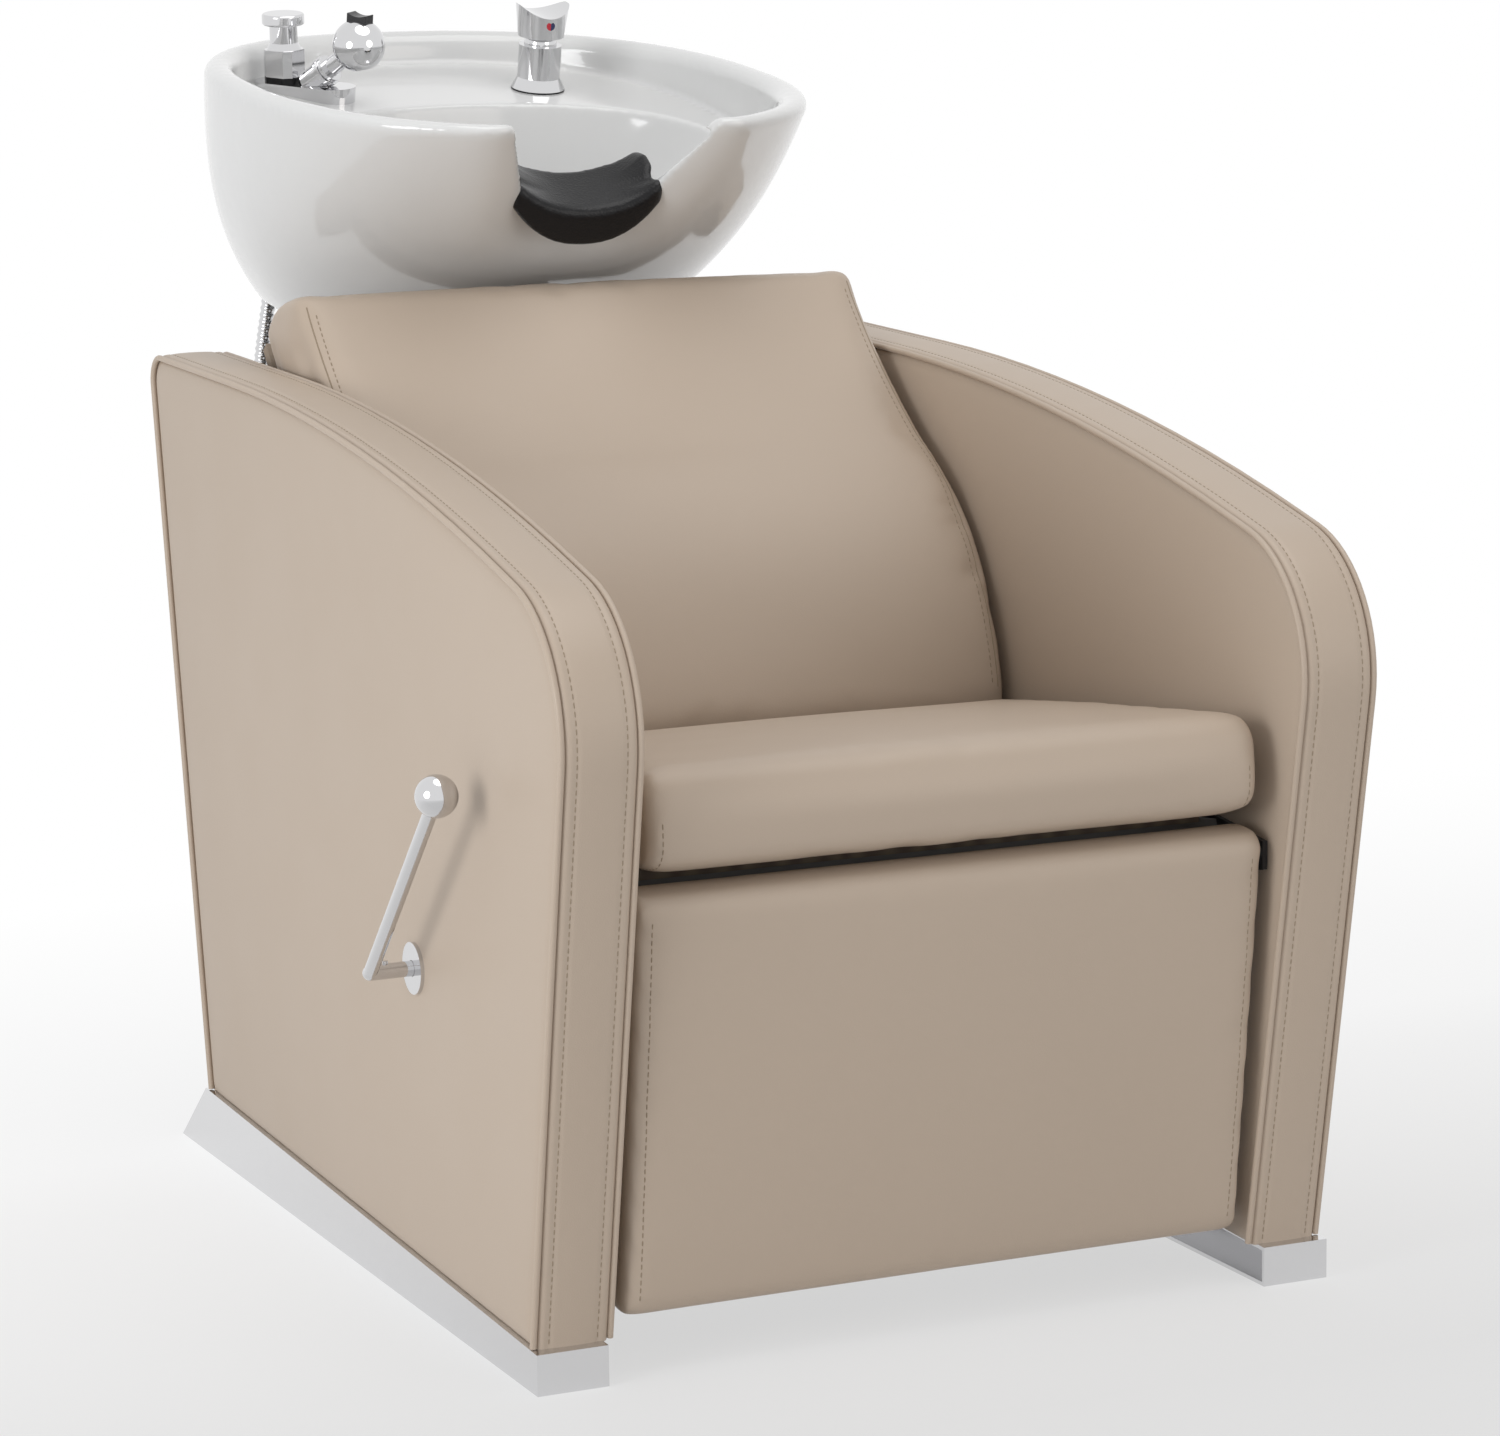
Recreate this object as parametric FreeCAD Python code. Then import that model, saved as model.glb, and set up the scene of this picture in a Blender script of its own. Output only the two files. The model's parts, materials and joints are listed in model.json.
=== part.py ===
import FreeCAD, Part
import math
import os

# Shampoo chair with a tilting wash bowl, in millimetres.
# X is to the right as seen from the front, Y runs to the back, Z is up.
# The origin is on the floor, midway between the two feet and midway along them.
# Chair heights and depths are measured from the front faces of the feet.

# Feet
FOOT_LENGTH = 837.0
FOOT_TOP_LENGTH = 766.0
FOOT_WIDTH = 56.0
FOOT_FRONT_HEIGHT = 31.0
FOOT_REAR_HEIGHT = 57.0
FOOT_WALL = 3.0
FOOT_BOLT_PLACES = (120.0, 640.0)

# Arms: the corner points are where the straight edges would meet
ARM_SPAN = 660.0
ARM_WIDTH = 65.0
ARM_FRONT_FOOT = 11.0
ARM_FRONT_CORNER = (-84.0, 564.0)
ARM_FRONT_RADIUS = 110.0
ARM_TOP_BREAK = (334.0, 671.0)
ARM_TOP_RADIUS = 2780.0
ARM_REAR_CORNER = (860.0, 687.0)
ARM_REAR_RADIUS = 24.0
ARM_REAR_FOOT = 760.0
ARM_PANEL = 12.0
ARM_FRAME_RAIL = 60.0
ARM_MID_RAIL_BOTTOM = 290.0
PIPING_DIAMETER = 5.0
PIPING_LIFT = 1.0

# Seat
SEAT_FRONT = -32.0
SEAT_FRONT_HEIGHT = 455.0
SEAT_DEPTH = 414.0
SEAT_HALF_WIDTH = 250.0
SEAT_THICKNESS = 72.0
SEAT_SLOPE = 6.8
SEAT_CROWN = 9.0
SEAT_EDGE_RADIUS = 20.0
SEAT_BOARD = 12.0
SEAT_BOARD_SETBACK = 85.0
SEAT_BOARD_SIDE_INSET = 10.0
SEAT_RAIL_SETBACKS = (95.0, 370.0)
RAIL_DEPTH = 40.0
RAIL_HEIGHT = 25.0
RAIL_WALL = 2.0
CUSHION_SIDE_DRAW = 7.0
CUSHION_SIDE_BAND = 15.0
CUSHION_SIDE_FALL = 0.8
CUSHION_STEPS = 4

# Backrest: the front line is an S of two arcs, the rear is straight
BACK_HALF_WIDTH = 250.0
BACK_SEAT_LINE = (392.0, 412.0)
BACK_LUMBAR = (430.0, 512.0)
BACK_TURN = (536.0, 612.0)
BACK_SHOULDER = (620.0, 678.0)
BACK_TOP_FRONT = (676.0, 735.0)
BACK_TOP_ROUND = (683.0, 741.0)
BACK_TOP = (694.0, 743.0)
BACK_TOP_REAR = (715.0, 739.0)
BACK_TOP_SWELL = (3.0, 5.0)
BACK_REAR_TOP = (786.0, 690.0)
BACK_REAR_FOOT = (510.0, 345.0)
BACK_BOARD = 15.0
BACK_COVER = 10.0
BACK_CROWN = 7.0
BACK_RAIL_PLACES = (150.0, 360.0)

# Leg rest
LEGREST_TOP_FRONT = (-30.0, 365.0)
LEGREST_LENGTH = 327.0
LEGREST_LEAN = 7.2
LEGREST_HALF_WIDTH = 258.0
LEGREST_PADDING = 44.0
LEGREST_BOARD = 12.0
LEGREST_BOARD_INSET = 20.0
LEGREST_CROWN = 6.0
LEGREST_EDGE_RADIUS = 13.0
LEGREST_PIVOT_DEPTH = 21.0
LEGREST_PIVOT_DROP = 24.0
LEGREST_TUBE_DIAMETER = 18.0
LEGREST_PIN_DIAMETER = 12.0
LEGREST_PIN_REACH = 30.0
LEGREST_BRACKET_PLACE = 200.0
LEGREST_BRACKET_WIDTH = 6.0
LEGREST_BRACKET_HEIGHT = 26.0

# Side plates and the linkage from the lever to the leg rest
SIDE_PLATE = 4.0
SIDE_PLATE_MARGIN = 19.2
SIDE_PLATE_NOSE = 11.0
SIDE_PLATE_BOLT_PLACES = ((110.0, 330.0), (405.0, 318.0))
LEVER_PIVOT = (232.0, 270.0)
CRANK_LENGTH = 75.0
CRANK_ANGLE = -40.0
LINK_WIDTH = 18.0
CRANK_HUB_RADIUS = 12.6
LINK_THICKNESS = 6.0
LINK_STUD_DIAMETER = 8.0
LINK_STUD_HEAD = 14.0
LINK_STUD_HEAD_HEIGHT = 3.0
CRANK_SETBACK = 9.0
BRACKET_FOOT = 40.0

# Lever
LEVER_DIAMETER = 12.0
LEVER_ROD_DIAMETER = 11.0
LEVER_REACH = 36.0
LEVER_LENGTH = 221.0
LEVER_ANGLE = 133.5
KNOB_DIAMETER = 32.0
KNOB_STUD_DEPTH = 12.0
ROSETTE_DIAMETER = 40.0
ROSETTE_THICKNESS = 3.0
LEVER_BUSH_WALL = 4.0
SET_SCREW_DIAMETER = 4.0
SET_SCREW_LENGTH = 5.0
SET_SCREW_BITE = 3.0
SET_SCREW_SETBACK = 12.0

# Column and tilt hinge of the bowl
COLUMN_WIDTH = 50.0
COLUMN_DEPTH = 40.0
COLUMN_WALL = 3.0
COLUMN_EDGE_GAP = 22.0
COLUMN_TOP = 585.0
COLUMN_FOOT = 75.0
REAR_RAIL_HEIGHTS = (110.0, 470.0)
TILT_AXIS = (835.0, 632.0)
TILT_PIN_DIAMETER = 12.0
YOKE_PLATE = 6.0
YOKE_HALF_WIDTH = 26.0
YOKE_EAR_RADIUS = 16.0
KNUCKLE_RADIUS = 12.0
KNUCKLE_LENGTH = 22.0
CRADLE_PLATE = 4.0
CRADLE_HALF_WIDTH = 90.0
CRADLE_FRONT = -20.0
CRADLE_BACK = 75.0

# Bowl, in its own tilted frame with the origin at the middle of the rim
BOWL_CENTRE = (850.0, 915.0)
BOWL_TILT = 7.1
BOWL_SQUARENESS = 2.36
RIM_HALF_WIDTH = 251.0
RIM_FRONT = -292.0
RIM_BACK = 283.0
RIM_ROUND = 12.0
RIM_TOP_WIDTH = 2.0
RIM_FACETS = 4
BOWL_STEPS = 7
NECK_DENT = 88.0
NECK_DENT_ANGLE = 16.0
BOWL_BOTTOM = 215.0
SIDE_TAPER = 10.0
SIDE_ROUND = 58.0
FRONT_TAPER = 187.0
FRONT_ROUND = 50.0
BACK_TAPER = 43.0
BACK_ROUND = 16.0
DENT_FADE = 1.6
BOWL_WALL = 12.0
SKIRT_WALL = 6.0
POCKET_FRONT = 20.0
DECK_BACK_DROP = 28.0
DECK_BACK = 240.0
DECK_SLOPE = 5.0
DECK_THICKNESS = 14.0
BASIN_START = 12.0
BASIN_TOP = 36.0
BASIN_FLOOR = 180.0
BASIN_HALF_WIDTH = 200.0
BASIN_FRONT = -235.0
BASIN_BACK = 92.0
BASIN_DENT = 65.0
BASIN_SIDE_TAPER = 57.0
BASIN_SIDE_ROUND = 83.0
BASIN_FRONT_TAPER = 190.0
BASIN_BACK_TAPER = 22.0
BASIN_BACK_ROUND = 15.0
BASIN_STEPS = 6
DRAIN_PLACE = 12.0
NOTCH_DEPTH = 78.0
NOTCH_FLOOR_RISE = 12.0
NOTCH_HALF_WIDTH = 62.0
NOTCH_TOP_HALF_WIDTH = 94.0
NOTCH_BACK = -130.0

# Neck rest
NECK_REST_THICKNESS = 14.0
NECK_REST_SLOPE = 25.0
NECK_REST_RADIUS = 150.0
NECK_REST_FRONT = -214.0
NECK_REST_BACK = -152.0
NECK_REST_TOP_DROP = 50.0
NECK_REST_DROP = 116.0
NECK_REST_SAG = 26.0
NECK_REST_LEAN = 18.0
NECK_REST_HALF_WIDTH = 64.0

# Drain
DRAIN_DIAMETER = 38.0
DRAIN_FLANGE_DIAMETER = 62.0
DRAIN_FLANGE_THICKNESS = 3.0
DRAIN_TAIL_WALL = 2.0
DRAIN_TAIL_DIAMETER = 36.0
DRAIN_TAIL_LENGTH = 85.0
DRAIN_NUT_ACROSS = 58.0
DRAIN_NUT_HEIGHT = 9.0
STRAINER_HOLES = 8
STRAINER_HOLE_DIAMETER = 6.0
STRAINER_CIRCLE = 22.0

# Mixer tap
MIXER_PLACE = (91.0, 142.0)
MIXER_FLANGE_DIAMETER = 49.0
MIXER_FLANGE_HEIGHT = 10.0
MIXER_DIAMETER = 39.0
MIXER_HEIGHT = 40.0
MIXER_BORE_DIAMETER = 30.0
MIXER_GASKET = 1.5
MIXER_SHANK_DIAMETER = 30.0
MIXER_SHANK_LENGTH = 34.0
HANDLE_SKIRT_GAP = 8.0
HANDLE_DIAMETER = 42.0
HANDLE_TOP_DIAMETER = 49.0
HANDLE_HEIGHT = 30.0
HANDLE_SADDLE_RADIUS = 34.0
HANDLE_SADDLE_DEPTH = 10.0
INDICATOR_DIAMETER = 8.0
INDICATOR_DEPTH = 1.5
INDICATOR_SHARE = 0.45
INDICATOR_PROUD = 0.3
INLET_DIAMETER = 10.0
INLET_LENGTH = 40.0
INLET_SPACING = 17.0
INLET_SPIGOT_DIAMETER = 8.0
INLET_SPIGOT_LENGTH = 14.0
INLET_WALL = 1.0

# Vacuum breaker and spray holder on their shared base
FIXTURE_PLACE = (-131.0, 150.0)
FIXTURE_TURN = -55.0
FIXTURE_LENGTH = 102.0
FIXTURE_WIDTH = 40.0
FIXTURE_REAR_HEIGHT = 5.0
FIXTURE_FRONT_HEIGHT = 14.0
BREAKER_PLACE = -22.0
BREAKER_TAIL_SETBACK = 4.0
BREAKER_WIDTH = 31.0
BREAKER_BLOCK_HEIGHT = 30.0
BREAKER_CHAMFER = 6.0
BREAKER_GASKET = 5.0
BREAKER_NECK_DIAMETER = 25.0
BREAKER_NECK_HEIGHT = 22.0
BREAKER_CAP_DIAMETER = 38.0
BREAKER_CAP_HEIGHT = 10.0
BREAKER_CAP_ROUND = 2.0
BREAKER_TAIL_DIAMETER = 16.0
BREAKER_TAIL_LENGTH = 26.0
LOCK_NUT_THICKNESS = 6.0
LOCK_NUT_MARGIN = 6.0
GUIDE_PLACE = 24.0
GUIDE_RISE = 14.0
GUIDE_ELEVATION = 41.0
GUIDE_DIAMETER = 25.0
GUIDE_SOCKET_DEPTH = 24.0
GUIDE_TAIL_DIAMETER = 20.0
GUIDE_TAIL_LENGTH = 26.0
GUIDE_RING_DIAMETER = 28.0
GUIDE_RING_HEIGHT = 4.0

# Spray head
SPRAY_NECK_DIAMETER = 17.0
SPRAY_NECK_INSERT = 20.0
SPRAY_BALL_DIAMETER = 47.0
SPRAY_BALL_DISTANCE = 43.0
SPRAY_FACE_DIAMETER = 19.0
SPRAY_FACE_DEPTH = 4.0
SPRAY_FACE_TURN = 115.0
TRIGGER_LENGTH = 20.0
TRIGGER_WIDTH = 12.0
TRIGGER_HEIGHT = 9.0
TRIGGER_PROUD = 5.0
TRIGGER_TRAVEL = 3.0
TRIGGER_DIP = 2.0
TRIGGER_DIP_RADIUS = 22.0

# Spray hose, hanging in one loop from the spray holder to the vacuum breaker
HOSE_DIAMETER = 14.0
HOSE_BORE = 8.0
HOSE_RIBS = 120
HOSE_RIB_DEPTH = 1.0
RIB_STEPS = (0.0, 0.2, 0.6, 0.8)
HOSE_LEAD = 45.0
HOSE_POINTS = (
    (-131.0, 1029.0, 745.0),
    (-152.0, 1036.0, 632.0),
    (-161.0, 1036.0, 522.0),
    (-164.0, 1035.0, 418.0),
    (-116.0, 1033.0, 366.0),
    (-46.0, 1030.0, 366.0),
    (6.0, 1026.0, 424.0),
    (-6.0, 1020.0, 520.0),
    (-52.0, 1014.0, 632.0),
    (-106.0, 1008.0, 745.0),
)

# Fasteners and clearances
BOLT_DIAMETER = 8.0
BOLT_HEAD_DIAMETER = 14.0
BOLT_HEAD_HEIGHT = 5.0
FRAME_BOLT_GRIP = 30.0
FOOT_BOLT_SEAT = 40.0
HOLE_CLEARANCE = 0.2
RUNNING_CLEARANCE = 0.05
SOFT_CLEARANCE = 0.4
SLIDE_CLEARANCE = 0.3
OVERCUT = 40.0
ROUTE_SHARE = 0.45

X_AXIS = FreeCAD.Vector(1, 0, 0)
Y_AXIS = FreeCAD.Vector(0, 1, 0)
Z_AXIS = FreeCAD.Vector(0, 0, 1)
HOSE_STEADY_SIDE = FreeCAD.Vector(0, 1, 0)
feet_front = -FOOT_LENGTH / 2
arm_outer = ARM_SPAN / 2
arm_inner = arm_outer - ARM_WIDTH


def behind(y, z, x=0.0):
    """A point given by its distance behind the front of the feet."""
    return FreeCAD.Vector(x, feet_front + y, z)


def block(low, high):
    size = [b - a for a, b in zip(low, high)]
    return Part.makeBox(*size, FreeCAD.Vector(*low))


def rod(start, direction, radius, length):
    return Part.makeCylinder(radius, length, start, direction)


def rod_x(y, z, radius, x_low, x_high):
    return rod(behind(y, z, x_low), X_AXIS, radius, x_high - x_low)


def mirrored(shape):
    return shape.mirror(FreeCAD.Vector(0, 0, 0), X_AXIS)


def group(shapes):
    return Part.makeCompound(shapes)


def cut_all(shape, tools):
    for tool in tools:
        shape = shape.cut(tool)
    return shape


def fuse_all(shapes):
    return shapes[0].fuse(shapes[1:]).removeSplitter()


def corner_arc(before, corner, after, radius):
    """Start, middle and end of the arc that rounds a corner."""
    back = (before - corner).normalize()
    ahead = (after - corner).normalize()
    half = back.getAngle(ahead) / 2
    reach = radius / math.tan(half)
    inward = (back + ahead).normalize()
    middle = corner + inward * (radius / math.sin(half) - radius)
    return corner + back * reach, middle, corner + ahead * reach


def rounded_edges(points, radii, closed):
    """Straight edges through the points, with arcs at the corners that have a radius."""
    count = len(points)
    spans = []
    for i, corner in enumerate(points):
        inner = closed or 0 < i < count - 1
        if inner and radii[i] > 0:
            spans.append(corner_arc(points[i - 1], corner, points[(i + 1) % count], radii[i]))
        else:
            spans.append((corner, None, corner))
    edges = []
    for i, (start, middle, end) in enumerate(spans):
        if middle is not None:
            edges.append(Part.Arc(start, middle, end).toShape())
        if i < count - 1 or closed:
            edges.append(Part.makeLine(end, spans[(i + 1) % count][0]))
    return edges


def inset_corners(corners, insets):
    """Corners of a flat outline whose edges have each moved in by their own inset."""
    lines = []
    for i, corner in enumerate(corners):
        along = (corners[(i + 1) % len(corners)] - corner).normalize()
        lines.append((corner + along.cross(X_AXIS) * insets[i], along))
    moved = []
    for i, (point, along) in enumerate(lines):
        last_point, last_along = lines[i - 1]
        gap = point - last_point
        share = gap.cross(along).x / last_along.cross(along).x
        moved.append(last_point + last_along * share)
    return moved


def prism(edges, x_low, x_high):
    """A flat outline drawn at x = 0, extruded from one x to another."""
    face = Part.Face(Part.Wire(edges))
    face.translate(FreeCAD.Vector(x_low, 0, 0))
    return face.extrude(FreeCAD.Vector(x_high - x_low, 0, 0))


def plate(points, x_low, x_high):
    """A polygon of distances behind the feet and heights, extruded along X."""
    corners = [behind(y, z) for y, z in points]
    return prism(rounded_edges(corners, [0] * len(corners), True), x_low, x_high)


def tube_block(low, high, wall):
    """A rectangular tube along X with open ends."""
    inner_low = (low[0] - OVERCUT, low[1] + wall, low[2] + wall)
    inner_high = (high[0] + OVERCUT, high[1] - wall, high[2] - wall)
    return block(low, high).cut(block(inner_low, inner_high))


def pillow_section(x, low, high, radius, front_bulge, top_bulge):
    """Rounded section of a cushion at one x: low and high are its Y and Z corners."""
    (y0, z0), (y1, z1) = low, high
    near = radius * (1 - math.sqrt(0.5))
    mid_y = (y0 + y1) / 2
    mid_z = (z0 + z1) / 2
    arcs = [
        ((y0 + radius, z0), (y0 + near, z0 + near), (y0, z0 + radius)),
        ((y0, z0 + radius), (y0 - front_bulge, mid_z), (y0, z1 - radius)),
        ((y0, z1 - radius), (y0 + near, z1 - near), (y0 + radius, z1)),
        ((y0 + radius, z1), (mid_y, z1 + top_bulge), (y1 - radius, z1)),
        ((y1 - radius, z1), (y1 - near, z1 - near), (y1, z1 - radius)),
    ]
    edges = []
    for arc in arcs:
        a, b, c = [FreeCAD.Vector(x, y, z) for y, z in arc]
        edges.append(Part.Arc(a, b, c).toShape())
    rear_top = FreeCAD.Vector(x, y1, z1 - radius)
    rear_foot = FreeCAD.Vector(x, y1, z0)
    edges.append(Part.makeLine(rear_top, rear_foot))
    edges.append(Part.makeLine(rear_foot, FreeCAD.Vector(x, y0 + radius, z0)))
    return Part.Wire(edges)


def side_stations(half_width):
    """Where a cushion's sections stand across its width, how far each is drawn in, and its swell."""
    flat = half_width - CUSHION_SIDE_BAND
    right = [(flat * i / CUSHION_STEPS, 0.0) for i in range(CUSHION_STEPS)]
    for i in range(CUSHION_STEPS + 1):
        turn = math.pi / 2 * i / CUSHION_STEPS
        right.append((flat + CUSHION_SIDE_BAND * math.sin(turn), CUSHION_SIDE_DRAW * (1 - math.cos(turn))))
    places = [(-x, draw) for x, draw in right[:0:-1]] + right
    return [(x, draw, 1 - CUSHION_SIDE_FALL * (x / half_width) ** 2) for x, draw in places]


def arm_corners():
    """Corners of the arm seen from the side, from the front foot round to the rear foot."""
    foot_rise = (FOOT_REAR_HEIGHT - FOOT_FRONT_HEIGHT) / FOOT_TOP_LENGTH
    front_foot = (ARM_FRONT_FOOT, FOOT_FRONT_HEIGHT + foot_rise * ARM_FRONT_FOOT)
    rear_foot = (ARM_REAR_FOOT, FOOT_FRONT_HEIGHT + foot_rise * ARM_REAR_FOOT)
    sides = (front_foot, ARM_FRONT_CORNER, ARM_TOP_BREAK, ARM_REAR_CORNER, rear_foot)
    return [behind(y, z) for y, z in sides]


def arm_edges(inset, foot_inset=0.0, closed=True):
    corners = inset_corners(arm_corners(), [inset] * 4 + [foot_inset])
    radii = [0, ARM_FRONT_RADIUS - inset, ARM_TOP_RADIUS - inset, max(ARM_REAR_RADIUS - inset, 0), 0]
    return rounded_edges(corners, radii, closed)


def make_feet():
    profile = (
        (0, 0),
        (0, FOOT_FRONT_HEIGHT),
        (FOOT_TOP_LENGTH, FOOT_REAR_HEIGHT),
        (FOOT_LENGTH, 0),
    )
    inner = arm_outer - FOOT_WIDTH
    body = plate(profile, inner, arm_outer)
    corners = inset_corners([behind(y, z) for y, z in profile], [FOOT_WALL] * 4)
    pocket = prism(rounded_edges(corners, [0] * 4, True), inner - OVERCUT, arm_outer - FOOT_WALL)
    body = cut_all(body.cut(pocket), [bolt_hole(y) for y in FOOT_BOLT_PLACES])
    return mirrored(body), body


def foot_bolt_line():
    return (arm_outer - ARM_PANEL + arm_inner + ARM_PANEL) / 2


def foot_bolt_seat(y):
    """Height of the flat seat of a foot bolt in the lower rail of the arm."""
    rise = (FOOT_REAR_HEIGHT - FOOT_FRONT_HEIGHT) / FOOT_TOP_LENGTH
    return FOOT_FRONT_HEIGHT + rise * y + FOOT_BOLT_SEAT


def bolt_hole(y):
    start = behind(y, 2 * FOOT_WALL, foot_bolt_line())
    return rod(start, Z_AXIS, BOLT_DIAMETER / 2 + HOLE_CLEARANCE, foot_bolt_seat(y))


def make_foot_bolts():
    bolts = []
    for y in FOOT_BOLT_PLACES:
        seat = foot_bolt_seat(y)
        length = FOOT_BOLT_SEAT + 4 * FOOT_WALL
        shank = rod(behind(y, seat - length, foot_bolt_line()), Z_AXIS, BOLT_DIAMETER / 2, length)
        head = rod(behind(y, seat, foot_bolt_line()), Z_AXIS, BOLT_HEAD_DIAMETER / 2, BOLT_HEAD_HEIGHT)
        bolt = fuse_all([shank, head])
        bolts += [bolt, mirrored(bolt)]
    return group(bolts)


def make_arm_frame():
    """Wooden frame inside an arm, with a rail across it at the seat."""
    low = arm_inner + ARM_PANEL
    high = arm_outer - ARM_PANEL
    frame = prism(arm_edges(PIPING_DIAMETER), low, high)
    window = prism(arm_edges(PIPING_DIAMETER + ARM_FRAME_RAIL, ARM_FRAME_RAIL), low - OVERCUT, high + OVERCUT)
    rail_top = ARM_MID_RAIL_BOTTOM + ARM_FRAME_RAIL
    rail = block(
        (low - OVERCUT, -FOOT_LENGTH, ARM_MID_RAIL_BOTTOM),
        (high + OVERCUT, FOOT_LENGTH, rail_top),
    )
    frame = frame.cut(window.cut(rail))
    for y in FOOT_BOLT_PLACES:
        head = rod(
            behind(y, foot_bolt_seat(y), foot_bolt_line()),
            Z_AXIS,
            BOLT_HEAD_DIAMETER / 2 + HOLE_CLEARANCE,
            ARM_FRAME_RAIL,
        )
        frame = frame.cut(bolt_hole(y)).cut(head)
    return cut_all(frame, side_bolt_holes())


def side_bolt_holes():
    """Holes for the bolts that hold a side plate to the arm."""
    high = arm_inner + ARM_PANEL + FRAME_BOLT_GRIP
    radius = BOLT_DIAMETER / 2 + HOLE_CLEARANCE
    return [rod_x(y, z, radius, arm_inner - SIDE_PLATE, high) for y, z in SIDE_PLATE_BOLT_PLACES]


def make_side_bolts():
    bolts = []
    low = arm_inner - SIDE_PLATE
    for y, z in SIDE_PLATE_BOLT_PLACES:
        shank = rod_x(y, z, BOLT_DIAMETER / 2, low, arm_inner + ARM_PANEL + FRAME_BOLT_GRIP)
        head = rod_x(y, z, BOLT_HEAD_DIAMETER / 2, low - BOLT_HEAD_HEIGHT, low)
        bolt = fuse_all([shank, head])
        bolts += [bolt, mirrored(bolt)]
    return group(bolts)


def make_arm_panels():
    """Padded boards on the outside and inside of the right arm."""
    outer = prism(arm_edges(PIPING_DIAMETER), arm_outer - ARM_PANEL, arm_outer)
    inner = prism(arm_edges(PIPING_DIAMETER), arm_inner, arm_inner + ARM_PANEL)
    return outer, cut_all(inner, side_bolt_holes())


def make_arm_band():
    """Padded strip over the front, top and rear edges of the right arm."""
    low = arm_inner + PIPING_DIAMETER
    high = arm_outer - PIPING_DIAMETER
    whole = prism(arm_edges(0.0), low, high)
    return whole.cut(prism(arm_edges(PIPING_DIAMETER), low - OVERCUT, high + OVERCUT))


def make_arm_piping():
    """Two welt cords along the edges of the band of the right arm."""
    radius = PIPING_DIAMETER / 2
    edges = arm_edges(radius, PIPING_LIFT, False)
    cords = []
    for x in (arm_outer - radius, arm_inner + radius):
        path = Part.Wire(edges)
        path.translate(FreeCAD.Vector(x, 0, 0))
        first = path.OrderedEdges[0]
        start = first.valueAt(first.FirstParameter)
        heading = first.tangentAt(first.FirstParameter)
        ring = Part.Wire(Part.makeCircle(radius, start, heading))
        cords.append(path.makePipeShell([ring], True, False))
    return group(cords)


def seat_placed(shape):
    """Moves a seat piece from its own flat frame, with the front top edge at the origin."""
    shape.rotate(FreeCAD.Vector(0, 0, 0), X_AXIS, -SEAT_SLOPE)
    shape.translate(behind(SEAT_FRONT, SEAT_FRONT_HEIGHT))
    return shape


def make_seat_cushion():
    sections = []
    for x, draw, swell in side_stations(SEAT_HALF_WIDTH):
        low = (draw, -SEAT_THICKNESS + draw / 2)
        high = (SEAT_DEPTH, -draw)
        radius = SEAT_EDGE_RADIUS - draw / 2
        sections.append(pillow_section(x, low, high, radius, SEAT_CROWN * swell / 2, SEAT_CROWN * swell))
    return seat_placed(Part.makeLoft(sections, True, True))


def make_seat_board():
    half = SEAT_HALF_WIDTH - SEAT_BOARD_SIDE_INSET
    top = -SEAT_THICKNESS
    return seat_placed(block((-half, SEAT_BOARD_SETBACK, top - SEAT_BOARD), (half, SEAT_DEPTH, top)))


def make_seat_rails():
    half = arm_inner - SIDE_PLATE
    top = -SEAT_THICKNESS - SEAT_BOARD
    rails = []
    for y in SEAT_RAIL_SETBACKS:
        rail = tube_block((-half, y, top - RAIL_HEIGHT), (half, y + RAIL_DEPTH, top), RAIL_WALL)
        rails.append(seat_placed(rail))
    return group(rails)


def back_rear_frame():
    """Rear top corner of the backrest, the way down its rear, and the way to its front."""
    top = behind(*BACK_REAR_TOP)
    down = (behind(*BACK_REAR_FOOT) - top).normalize()
    return top, down, down.cross(X_AXIS)


def back_layer(start, thickness, half_width):
    """A flat layer parallel to the rear of the backrest."""
    top, down, ahead = back_rear_frame()
    length = (behind(*BACK_REAR_FOOT) - top).Length
    corner = top + ahead * start
    points = [
        corner,
        corner + down * length,
        corner + down * length + ahead * thickness,
        corner + ahead * thickness,
    ]
    return prism(rounded_edges(points, [0] * 4, True), -half_width, half_width)


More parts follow.
